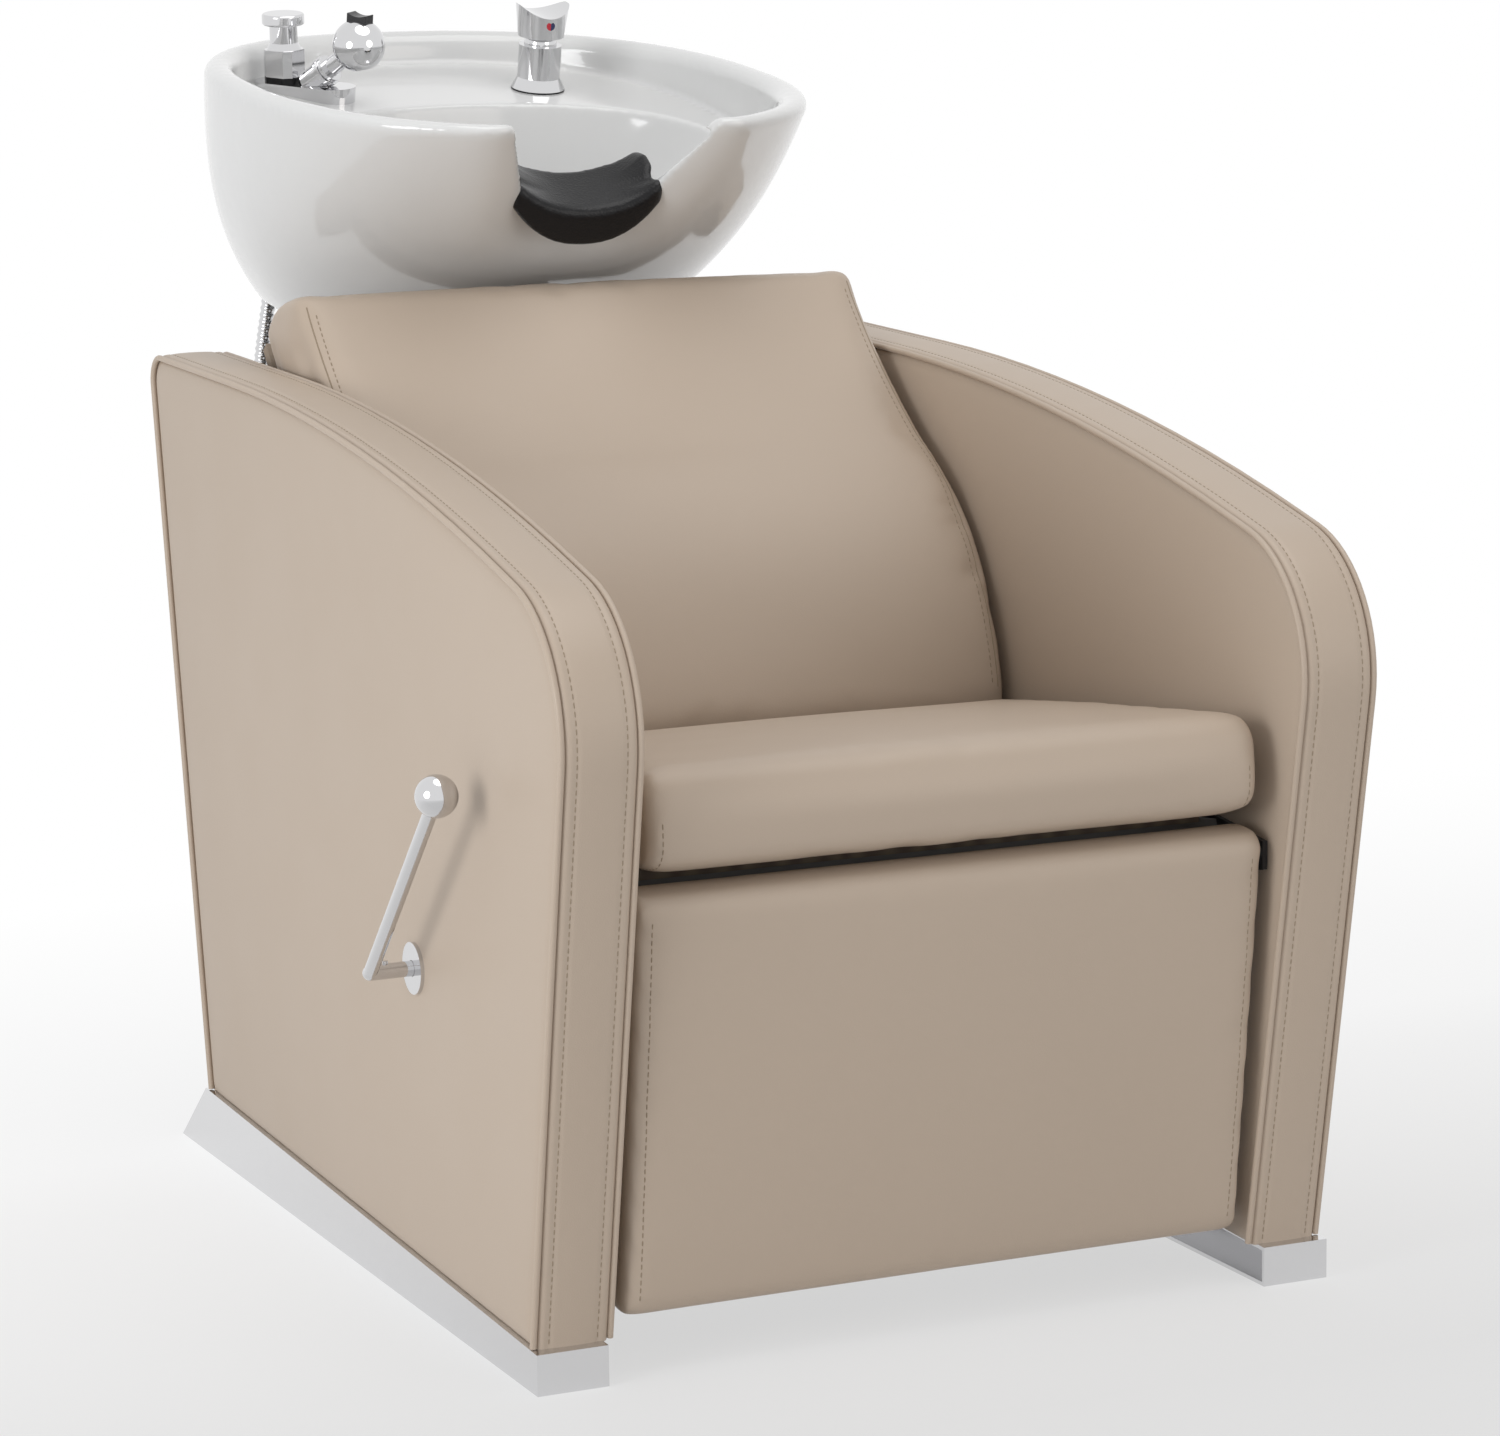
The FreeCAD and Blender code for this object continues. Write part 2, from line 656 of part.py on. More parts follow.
def back_section(x, draw, swell):
    top, down, ahead = back_rear_frame()
    depth = BACK_COVER + BACK_BOARD
    rear_top = top + ahead * depth
    rear_foot = behind(*BACK_REAR_FOOT) + ahead * depth
    bulge = FreeCAD.Vector(0, -BACK_CROWN * swell + draw, 0)

    def front(point):
        return behind(*point) + bulge

    crest = FreeCAD.Vector(0, 0, -draw)
    seat_line = front(BACK_SEAT_LINE)
    foot = behind(BACK_SEAT_LINE[0], rear_foot.z)
    foot.y = seat_line.y
    bend = (behind(*BACK_TOP_REAR) + rear_top) * 0.5 + FreeCAD.Vector(0, *BACK_TOP_SWELL)
    runs = [
        (seat_line, front(BACK_LUMBAR), front(BACK_TURN)),
        (front(BACK_TURN), front(BACK_SHOULDER), front(BACK_TOP_FRONT) + crest),
        (front(BACK_TOP_FRONT) + crest, front(BACK_TOP_ROUND) + crest, behind(*BACK_TOP) + crest),
    ]
    edges = [Part.makeLine(foot, seat_line)]
    edges += [Part.Arc(*run).toShape() for run in runs]
    edges.append(Part.makeLine(behind(*BACK_TOP) + crest, behind(*BACK_TOP_REAR) + crest))
    edges.append(Part.Arc(behind(*BACK_TOP_REAR) + crest, bend + crest * 0.5, rear_top).toShape())
    edges.append(Part.makeLine(rear_top, rear_foot))
    edges.append(Part.makeLine(rear_foot, foot))
    section = Part.Wire(edges)
    section.translate(FreeCAD.Vector(x, 0, 0))
    return section


def make_back_cushion():
    sections = [back_section(*station) for station in side_stations(BACK_HALF_WIDTH)]
    return Part.makeLoft(sections, True, True)


def make_back_rails():
    """Two tubes across the back of the chair that the backrest is fixed to."""
    top, down, ahead = back_rear_frame()
    lean = math.degrees(math.atan2(-down.y, -down.z))
    rails = []
    for place in BACK_RAIL_PLACES:
        rail = tube_block((-arm_inner, 0, -RAIL_DEPTH), (arm_inner, RAIL_HEIGHT, 0), RAIL_WALL)
        rail.rotate(FreeCAD.Vector(0, 0, 0), X_AXIS, -lean)
        rail.translate(top + down * place)
        rails.append(rail)
    return group(rails)


def legrest_placed(shape):
    """Moves a leg rest piece from its own upright frame, with the front top edge at the origin."""
    shape.rotate(FreeCAD.Vector(0, 0, 0), X_AXIS, LEGREST_LEAN)
    shape.translate(behind(*LEGREST_TOP_FRONT))
    return shape


def legrest_pivot():
    point = FreeCAD.Vector(0, LEGREST_PIVOT_DEPTH, -LEGREST_PIVOT_DROP)
    lean = FreeCAD.Rotation(X_AXIS, LEGREST_LEAN)
    return lean.multVec(point) + behind(*LEGREST_TOP_FRONT)


def legrest_bracket(grow):
    """One strap between the pivot tube and the board, or the slot for it."""
    half = LEGREST_BRACKET_WIDTH / 2 + grow
    reach = LEGREST_BRACKET_HEIGHT / 2 + grow
    low = (LEGREST_BRACKET_PLACE - half, LEGREST_PIVOT_DEPTH, -LEGREST_PIVOT_DROP - reach)
    high = (LEGREST_BRACKET_PLACE + half, LEGREST_PADDING, -LEGREST_PIVOT_DROP + reach)
    return block(low, high)


def legrest_tube_core(radius, half_length):
    start = FreeCAD.Vector(-half_length, LEGREST_PIVOT_DEPTH, -LEGREST_PIVOT_DROP)
    return rod(start, X_AXIS, radius, 2 * half_length)


def make_legrest_cushion():
    sections = []
    for x, draw, swell in side_stations(LEGREST_HALF_WIDTH):
        low = (draw / 2, -LEGREST_LENGTH + draw / 2)
        high = (LEGREST_PADDING, -draw / 2)
        radius = LEGREST_EDGE_RADIUS - draw / 4
        sections.append(pillow_section(x, low, high, radius, LEGREST_CROWN * swell, 0.5))
    cushion = Part.makeLoft(sections, True, True)
    slot = legrest_bracket(SOFT_CLEARANCE)
    channel = legrest_tube_core(LEGREST_TUBE_DIAMETER / 2 + SOFT_CLEARANCE, arm_inner)
    return legrest_placed(cut_all(cushion, [slot, mirrored(slot), channel]))


def make_legrest_board():
    half = LEGREST_HALF_WIDTH - LEGREST_BOARD_INSET
    low = (-half, LEGREST_PADDING, -LEGREST_LENGTH + LEGREST_BOARD_INSET)
    high = (half, LEGREST_PADDING + LEGREST_BOARD, -LEGREST_PIVOT_DROP / 2)
    return legrest_placed(block(low, high))


def make_legrest_tube():
    """Hinge tube through the top of the leg rest, with its straps to the board."""
    half = LEGREST_HALF_WIDTH - SLIDE_CLEARANCE
    outer = legrest_tube_core(LEGREST_TUBE_DIAMETER / 2, half)
    bore = legrest_tube_core(LEGREST_PIN_DIAMETER / 2 + RUNNING_CLEARANCE, half + OVERCUT)
    strap = legrest_bracket(0.0)
    return legrest_placed(fuse_all([outer, strap, mirrored(strap)]).cut(bore))


def make_legrest_pins():
    pivot = legrest_pivot()
    high = arm_inner
    low = high - SIDE_PLATE - LEGREST_PIN_REACH
    start = FreeCAD.Vector(low, pivot.y, pivot.z)
    pin = rod(start, X_AXIS, LEGREST_PIN_DIAMETER / 2, high - low)
    return group([mirrored(pin), pin])


def crank_layer():
    """X range of the crank and of the bracket that it works beside, on the lever's side."""
    outer = arm_inner - SIDE_PLATE - CRANK_SETBACK
    return -outer, -outer + LINK_THICKNESS


def crank_offset():
    turn = math.radians(CRANK_ANGLE)
    return FreeCAD.Vector(0, CRANK_LENGTH * math.cos(turn), CRANK_LENGTH * math.sin(turn))


def eye_plate(first, second, first_radius, second_radius, x_low, x_high):
    """Flat bar with round ends between two pivots."""
    along = (second - first).normalize()
    across = along.cross(X_AXIS)
    points = [
        first + across * first_radius,
        second + across * second_radius,
        second - across * second_radius,
        first - across * first_radius,
    ]
    bar = prism(rounded_edges(points, [0] * 4, True), x_low, x_high)
    ends = []
    for centre, radius in ((first, first_radius), (second, second_radius)):
        start = FreeCAD.Vector(x_low, centre.y, centre.z)
        ends.append(rod(start, X_AXIS, radius, x_high - x_low))
    return fuse_all([bar] + ends)


def link_stud(centre):
    """Headed stud that carries one end of the link."""
    low = crank_layer()[1]
    reach = LINK_THICKNESS + 2 * SLIDE_CLEARANCE
    start = FreeCAD.Vector(low, centre.y, centre.z)
    shank = rod(start, X_AXIS, LINK_STUD_DIAMETER / 2, reach)
    head_start = FreeCAD.Vector(low + reach, centre.y, centre.z)
    return shank.fuse(rod(head_start, X_AXIS, LINK_STUD_HEAD / 2, LINK_STUD_HEAD_HEIGHT))


def make_lever_crank():
    pivot = behind(*LEVER_PIVOT)
    end = pivot + crank_offset()
    bar = eye_plate(pivot, end, CRANK_HUB_RADIUS, LINK_WIDTH / 2, *crank_layer())
    hole = rod_x(*LEVER_PIVOT, LEVER_DIAMETER / 2, -arm_outer, 0.0)
    return fuse_all([bar.cut(hole), link_stud(end)])


def make_leg_link():
    start = behind(*LEVER_PIVOT) + crank_offset()
    end = legrest_pivot() + crank_offset()
    low = crank_layer()[1] + SLIDE_CLEARANCE
    bar = eye_plate(start, end, LINK_WIDTH / 2, LINK_WIDTH / 2, low, low + LINK_THICKNESS)
    radius = LINK_STUD_DIAMETER / 2 + RUNNING_CLEARANCE
    for centre in (start, end):
        bar = bar.cut(rod(FreeCAD.Vector(low - OVERCUT, centre.y, centre.z), X_AXIS, radius, 3 * OVERCUT))
    return bar


def make_link_bracket():
    """Ear on the back of the leg rest's board that the link pushes, with its foot plate."""
    end = legrest_pivot() + crank_offset()
    lean = FreeCAD.Rotation(X_AXIS, LEGREST_LEAN)
    board_rear = LEGREST_PADDING + LEGREST_BOARD
    rear = lean.multVec(FreeCAD.Vector(0, board_rear, 0)) + behind(*LEGREST_TOP_FRONT)
    down = lean.multVec(FreeCAD.Vector(0, 0, -1))
    drop = (end - rear).dot(down)
    foot = [rear + down * (drop - LINK_WIDTH), rear + down * (drop + LINK_WIDTH)]
    tip = [end + down * LINK_WIDTH / 2, end - down * LINK_WIDTH / 2]
    web = prism(rounded_edges(foot + tip, [0] * 4, True), *crank_layer())
    low = crank_layer()[0]
    eye = rod(FreeCAD.Vector(low, end.y, end.z), X_AXIS, LINK_WIDTH / 2, LINK_THICKNESS)
    base = block(
        (low, board_rear, -drop - LINK_WIDTH),
        (low + BRACKET_FOOT, board_rear + SIDE_PLATE, LINK_WIDTH - drop),
    )
    return fuse_all([web, eye, link_stud(end), legrest_placed(base)])


def make_side_plate():
    """Steel plate on the inside of the right arm."""
    pivot = legrest_pivot()
    py = pivot.y - feet_front
    ly, lz = LEVER_PIVOT
    margin = SIDE_PLATE_MARGIN
    nose = SIDE_PLATE_NOSE
    (first_y, first_z), (second_y, second_z) = SIDE_PLATE_BOLT_PLACES
    outline = (
        (py - nose, pivot.z - nose),
        (py - nose, pivot.z + nose),
        (first_y, first_z + 2 * margin),
        (second_y + margin, second_z + margin),
        (second_y + margin, second_z - 2 * margin),
        (ly + margin, lz - margin),
        (ly - margin, lz - margin),
        (first_y, first_z - margin),
    )
    body = plate(outline, arm_inner - SIDE_PLATE, arm_inner)
    start = FreeCAD.Vector(0, pivot.y, pivot.z)
    pin_hole = rod(start, X_AXIS, LEGREST_PIN_DIAMETER / 2, arm_outer)
    return cut_all(body, side_bolt_holes() + [pin_hole])


def lever_bush_radius():
    return LEVER_DIAMETER / 2 + LEVER_BUSH_WALL


def lever_bore():
    """Hole for the bush through the left side plate and inner panel."""
    return rod_x(*LEVER_PIVOT, lever_bush_radius(), -arm_inner - ARM_PANEL - 1, 0.0)


def lever_passage():
    """Hole for the bare shaft through the left outer panel and its rosette."""
    radius = LEVER_DIAMETER / 2 + SLIDE_CLEARANCE
    return rod_x(*LEVER_PIVOT, radius, -arm_outer - OVERCUT, -arm_outer + ARM_PANEL + 1)


def make_lever_bush():
    low = -arm_inner - ARM_PANEL
    body = rod_x(*LEVER_PIVOT, lever_bush_radius(), low, low + ARM_PANEL + SIDE_PLATE)
    bore = rod_x(*LEVER_PIVOT, LEVER_DIAMETER / 2 + RUNNING_CLEARANCE, low - OVERCUT, 0.0)
    return body.cut(bore)


def make_lever_rosette():
    disc = rod_x(*LEVER_PIVOT, ROSETTE_DIAMETER / 2, -arm_outer - ROSETTE_THICKNESS, -arm_outer)
    return disc.cut(lever_passage())


def lever_elbow():
    return behind(*LEVER_PIVOT, -arm_outer - LEVER_REACH)


def lever_heading():
    turn = math.radians(LEVER_ANGLE)
    return FreeCAD.Vector(0, math.cos(turn), math.sin(turn))


def set_screw_place():
    return lever_elbow() + X_AXIS * SET_SCREW_SETBACK


def make_lever_shaft():
    """Cross shaft, with a rounded elbow where the rod is fixed."""
    elbow = lever_elbow()
    shaft = rod(elbow, X_AXIS, LEVER_DIAMETER / 2, crank_layer()[1] - elbow.x)
    shaft = fuse_all([shaft, Part.makeSphere(LEVER_DIAMETER / 2, elbow)])
    screw_hole = rod(set_screw_place(), Z_AXIS, SET_SCREW_DIAMETER / 2, LEVER_DIAMETER)
    return shaft.cut(screw_hole)


def make_lever_rod():
    body = rod(lever_elbow(), lever_heading(), LEVER_ROD_DIAMETER / 2, LEVER_LENGTH - KNOB_STUD_DEPTH / 3)
    return body.cut(make_lever_shaft())


def make_lever_knob():
    centre = lever_elbow() + lever_heading() * LEVER_LENGTH
    return Part.makeSphere(KNOB_DIAMETER / 2, centre).cut(make_lever_rod())


def make_set_screw():
    rise = LEVER_DIAMETER / 2 - SET_SCREW_BITE
    start = set_screw_place()
    body = rod(start + Z_AXIS * rise, Z_AXIS, SET_SCREW_DIAMETER / 2, SET_SCREW_LENGTH)
    core = rod(start, Z_AXIS, SET_SCREW_DIAMETER / 2, rise)
    return fuse_all([body, core])


def rear_edge_frame():
    """Foot of the arm's rear edge, the way up it, and the way forward from it."""
    foot = behind(ARM_REAR_FOOT, FOOT_REAR_HEIGHT)
    up = (behind(*ARM_REAR_CORNER) - foot).normalize()
    return foot, up, X_AXIS.cross(up) * -1


def rear_lean():
    foot, up, ahead = rear_edge_frame()
    return math.degrees(math.atan2(up.y, up.z))


def on_rear_edge(shape, height):
    """Leans a piece with the arm's rear edge, with its own origin on that edge at a height."""
    foot, up, ahead = rear_edge_frame()
    shape.rotate(FreeCAD.Vector(0, 0, 0), X_AXIS, -rear_lean())
    shape.translate(foot + up * ((height - foot.z) / up.z))
    return shape


def make_rear_rails():
    """Two tubes between the arms that carry the column."""
    rails = []
    front = -COLUMN_EDGE_GAP - COLUMN_DEPTH
    for height in REAR_RAIL_HEIGHTS:
        rail = tube_block((-arm_inner, front - RAIL_HEIGHT, 0), (arm_inner, front, RAIL_DEPTH), RAIL_WALL)
        rails.append(on_rear_edge(rail, height))
    return group(rails)


def make_bowl_column():
    half = COLUMN_WIDTH / 2
    rear = -COLUMN_EDGE_GAP
    foot, up, ahead = rear_edge_frame()
    length = (COLUMN_TOP - COLUMN_FOOT) / up.z + COLUMN_DEPTH
    outer = block((-half, rear - COLUMN_DEPTH, 0), (half, rear, length))
    wall = COLUMN_WALL
    inner = block(
        (wall - half, rear - COLUMN_DEPTH + wall, -OVERCUT),
        (half - wall, rear - wall, length + OVERCUT),
    )
    column = on_rear_edge(outer.cut(inner), COLUMN_FOOT)
    above = block((-half - 1, -FOOT_LENGTH, COLUMN_TOP), (half + 1, FOOT_LENGTH, 2 * COLUMN_TOP))
    return column.cut(above)


def make_bowl_yoke():
    """Forked bracket on top of the column."""
    axis_y, axis_z = TILT_AXIS
    foot, up, ahead = rear_edge_frame()
    column_rear = foot.y + up.y / up.z * (COLUMN_TOP - foot.z) - COLUMN_EDGE_GAP
    floor = block(
        (-YOKE_HALF_WIDTH, column_rear - COLUMN_DEPTH - YOKE_PLATE, COLUMN_TOP),
        (YOKE_HALF_WIDTH, feet_front + axis_y + YOKE_EAR_RADIUS, COLUMN_TOP + YOKE_PLATE),
    )
    ears = []
    for low in (-YOKE_HALF_WIDTH, YOKE_HALF_WIDTH - YOKE_PLATE):
        web = block(
            (low, feet_front + axis_y - YOKE_EAR_RADIUS, COLUMN_TOP),
            (low + YOKE_PLATE, feet_front + axis_y + YOKE_EAR_RADIUS, axis_z),
        )
        ears += [web, rod_x(axis_y, axis_z, YOKE_EAR_RADIUS, low, low + YOKE_PLATE)]
    hole = rod_x(axis_y, axis_z, TILT_PIN_DIAMETER / 2, -arm_inner, arm_inner)
    return fuse_all([floor] + ears).cut(hole)


def make_tilt_pin():
    half = YOKE_HALF_WIDTH + KNUCKLE_LENGTH + 2 * SLIDE_CLEARANCE
    return rod_x(*TILT_AXIS, TILT_PIN_DIAMETER / 2, -half, half)


def bowl_placed(shape):
    shape.rotate(FreeCAD.Vector(0, 0, 0), X_AXIS, BOWL_TILT)
    shape.translate(behind(*BOWL_CENTRE))
    return shape


def bowl_section(depth, half_width, y_front, y_back, dent):
    """Outline of the bowl at a depth under the rim, with the dent for the neck."""
    middle = (y_front + y_back) / 2
    half_depth = (y_back - y_front) / 2
    power = BOWL_SQUARENESS
    points = []
    steps = 48
    for i in range(steps):
        angle = 2 * math.pi * i / steps
        across = abs(math.cos(angle) / half_width) ** power
        along = abs(math.sin(angle) / half_depth) ** power
        radius = (across + along) ** (-1 / power)
        from_neck = math.degrees(abs(angle - 1.5 * math.pi))
        radius -= dent * math.exp(-((from_neck / NECK_DENT_ANGLE) ** 4))
        points.append(FreeCAD.Vector(radius * math.cos(angle), middle + radius * math.sin(angle), -depth))
    curve = Part.BSplineCurve()
    curve.interpolate(points, PeriodicFlag=True)
    return Part.Wire(curve.toShape())


def bowl_side(depth):
    """Half width, front, back and neck dent of the outside of the bowl at a depth under the rim."""
    share = max(depth, 0.0) / BOWL_BOTTOM
    half_width = RIM_HALF_WIDTH - SIDE_TAPER * share - SIDE_ROUND * share ** 3
    y_front = RIM_FRONT + FRONT_TAPER * share + FRONT_ROUND * share ** 2
    y_back = RIM_BACK - BACK_TAPER * share - BACK_ROUND * share ** 2
    dent = NECK_DENT * max(1 - DENT_FADE * share, 0.0)
    return half_width, y_front, y_back, dent


def basin_side(depth):
    """The same four sizes for the basin inside the bowl."""
    share = (depth - BASIN_TOP) / (BASIN_FLOOR - BASIN_TOP)
    half_width = BASIN_HALF_WIDTH - BASIN_SIDE_TAPER * share - BASIN_SIDE_ROUND * share ** 2
    y_front = BASIN_FRONT + BASIN_FRONT_TAPER * share
    y_back = BASIN_BACK - BASIN_BACK_TAPER * share - BASIN_BACK_ROUND * share ** 2
    dent = BASIN_DENT * max(1 - DENT_FADE * share, 0.0)
    return half_width, y_front, y_back, dent


def outside_section(depth, inset):
    half_width, y_front, y_back, dent = bowl_side(depth)
    return bowl_section(depth, half_width - inset, y_front + inset, y_back - inset, dent)


def rim_round(inset, outward):
    """Sections that round one edge of the rim, from its side up to its top."""
    sections = []
    for i in range(RIM_FACETS + 1):
        angle = math.pi / 2 * i / RIM_FACETS
        gap = inset + outward * RIM_ROUND * (1 - math.cos(angle))
        sections.append(outside_section(RIM_ROUND * (1 - math.sin(angle)), gap))
    return sections


def make_bowl_outside():
    depths = [RIM_ROUND + (BOWL_BOTTOM - RIM_ROUND) * i / BOWL_STEPS for i in range(BOWL_STEPS + 1)]
    wall = Part.makeLoft([outside_section(depth, 0.0) for depth in depths], True, False)
    return wall.fuse(Part.makeLoft(rim_round(0.0, 1), True, True))


def deck_height(y):
    return -DECK_BACK_DROP - math.tan(math.radians(DECK_SLOPE)) * (DECK_BACK - y)


def deck_slab(shift):
    """Everything under the deck, moved up or down from its surface."""
    slab = block((-arm_inner, -2 * BOWL_BOTTOM, -3 * BOWL_BOTTOM), (arm_inner, 2 * BOWL_BOTTOM, 0))
    slab.rotate(FreeCAD.Vector(0, 0, 0), X_AXIS, DECK_SLOPE)
    slab.translate(FreeCAD.Vector(0, 0, deck_height(0.0) + shift))
    return slab


def make_bowl_hollow():
    """Space inside the rim, down to the deck."""
    inset = 2 * RIM_ROUND + RIM_TOP_WIDTH
    depths = [RIM_ROUND + (BASIN_FLOOR / 2 - RIM_ROUND) * i / 3 for i in range(4)]
    wall = Part.makeLoft([outside_section(depth, inset) for depth in depths], True, False)
    flare = rim_round(inset, -1)
    mouth = flare[-1].copy()
    mouth.translate(FreeCAD.Vector(0, 0, RIM_ROUND))
    return wall.fuse(Part.makeLoft(flare + [mouth], True, True)).cut(deck_slab(0.0))


def make_basin(grow):
    """Hollow that the water runs into, in front of the deck, grown by a wall."""
    sections = []
    for i in range(BASIN_STEPS):
        depth = BASIN_START + (BASIN_FLOOR - BASIN_START) * i / (BASIN_STEPS - 1)
        half_width, y_front, y_back, dent = basin_side(depth)
        sections.append(bowl_section(depth + grow, half_width + grow, y_front - grow, y_back + grow, dent))
    return Part.makeLoft(sections, True, False)


def make_deck_pocket():
    """Open space under the deck, behind the basin, where the pipes run."""
    step = (BOWL_BOTTOM + OVERCUT - BOWL_WALL) / BASIN_STEPS
    depths = [BOWL_WALL + step * i for i in range(BASIN_STEPS + 1)]
    shell = Part.makeLoft([outside_section(depth, SKIRT_WALL) for depth in depths], True, False)
    edge = BASIN_BACK - BASIN_FRONT
    front = block((-arm_inner, -2 * BOWL_BOTTOM, -2 * BOWL_BOTTOM), (arm_inner, POCKET_FRONT, BOWL_BOTTOM))
    seat = block(
        (-CRADLE_HALF_WIDTH - BOWL_WALL, -edge, -2 * BOWL_BOTTOM),
        (CRADLE_HALF_WIDTH + BOWL_WALL, CRADLE_BACK + BOWL_WALL, -BASIN_FLOOR),
    )
    return shell.common(deck_slab(-DECK_THICKNESS)).cut(make_basin(BOWL_WALL)).cut(front).cut(seat)


def notch_profile(lift):
    """Half widths, floor and side height of the neck notch, lifted off the ceramic."""
    bottom = -NOTCH_DEPTH + lift
    return NOTCH_HALF_WIDTH - lift, NOTCH_TOP_HALF_WIDTH - lift, bottom, bottom + NOTCH_FLOOR_RISE


def notch_cutter(lift, y_low, y_high):
    width, top_width, bottom, side = notch_profile(lift)
    points = [
        FreeCAD.Vector(-width, y_low, side),
        FreeCAD.Vector(0, y_low, bottom),
        FreeCAD.Vector(width, y_low, side),
    ]
    left_top = FreeCAD.Vector(-top_width, y_low, 0)
    right_top = FreeCAD.Vector(top_width, y_low, 0)
    rise = FreeCAD.Vector(0, 0, RIM_ROUND)
    edges = [
        Part.Arc(*points).toShape(),
        Part.makeLine(points[2], right_top),
        Part.makeLine(right_top, right_top + rise),
        Part.makeLine(right_top + rise, left_top + rise),
        Part.makeLine(left_top + rise, left_top),
        Part.makeLine(left_top, points[0]),
    ]
    return Part.Face(Part.Wire(edges)).extrude(FreeCAD.Vector(0, y_high - y_low, 0))


def deck_placed(shape, place):
    """Stands a piece on the deck at a place in the bowl's frame."""
    shape.rotate(FreeCAD.Vector(0, 0, 0), X_AXIS, DECK_SLOPE)
    shape.translate(FreeCAD.Vector(place[0], place[1], deck_height(place[1])))
    return shape


def make_bowl():
    body = make_bowl_outside().cut(make_bowl_hollow())
    body = body.cut(make_basin(0.0)).cut(make_deck_pocket())
    body = body.cut(notch_cutter(0.0, 2 * RIM_FRONT, NOTCH_BACK))
    drain = rod(drain_point(-2 * BOWL_BOTTOM), Z_AXIS, drain_hole_radius(), 2 * BOWL_BOTTOM)
    mixer = rod(FreeCAD.Vector(0, 0, -OVERCUT), Z_AXIS, MIXER_SHANK_DIAMETER / 2 + HOLE_CLEARANCE, OVERCUT)
    holes = [drain, deck_placed(mixer, MIXER_PLACE)]
    holes += [fixture_placed(breaker_hole()), fixture_placed(guide_hole())]
    return bowl_placed(cut_all(body, holes))


def drain_hole_radius():
    return DRAIN_DIAMETER / 2 + HOLE_CLEARANCE


def make_neck_rest():
    """Rubber saddle on the lip of the notch, with an apron down the front of the bowl."""
    rear_edge = FreeCAD.Vector(0, NECK_REST_BACK, NECK_REST_THICKNESS - NOTCH_DEPTH)
    hollow_start = rear_edge + FreeCAD.Vector(0, 2 * RIM_FRONT, NECK_REST_RADIUS)
    hollow = rod(hollow_start, Y_AXIS, NECK_REST_RADIUS, -4 * RIM_FRONT)
    hollow.rotate(rear_edge, X_AXIS, NECK_REST_SLOPE)
    saddle = notch_cutter(0.0, NECK_REST_FRONT, NECK_REST_BACK).cut(hollow)
    half = NECK_REST_HALF_WIDTH
    keep = block((-half, -2 * BOWL_BOTTOM, -BOWL_BOTTOM), (half, 0, -NECK_REST_TOP_DROP))
    shoulder = NECK_REST_DROP - NECK_REST_SAG
    arc = [
        FreeCAD.Vector(-half, 0, -shoulder),
        FreeCAD.Vector(0, 0, -NECK_REST_DROP),
        FreeCAD.Vector(half, 0, -shoulder),
    ]
    tips = [FreeCAD.Vector(half, 0, -NECK_REST_TOP_DROP), FreeCAD.Vector(-half, 0, -NECK_REST_TOP_DROP)]
    edges = [
        Part.Arc(*arc).toShape(),
        Part.makeLine(arc[2], tips[0]),
        Part.makeLine(tips[0], tips[1]),
        Part.makeLine(tips[1], arc[0]),
    ]
    apron = Part.Face(Part.Wire(edges)).extrude(FreeCAD.Vector(0, NECK_DENT, 0))
    apron.rotate(FreeCAD.Vector(0, 0, -NECK_REST_TOP_DROP), X_AXIS, NECK_REST_LEAN)
    apron.translate(FreeCAD.Vector(0, NECK_REST_FRONT, 0))
    apron = apron.cut(hollow).cut(make_bowl_outside()).common(neck_side())
    return bowl_placed(fuse_all([saddle.common(keep), apron]))


def neck_side():
    """Space in front of the basin."""
    return block((-arm_inner, 2 * RIM_FRONT, -BOWL_BOTTOM), (arm_inner, NECK_REST_BACK, 0))


def knuckle_frame():
    """The tilt axis in the bowl's frame."""
    turn = FreeCAD.Rotation(X_AXIS, -BOWL_TILT)
    return turn.multVec(behind(*TILT_AXIS) - behind(*BOWL_CENTRE))


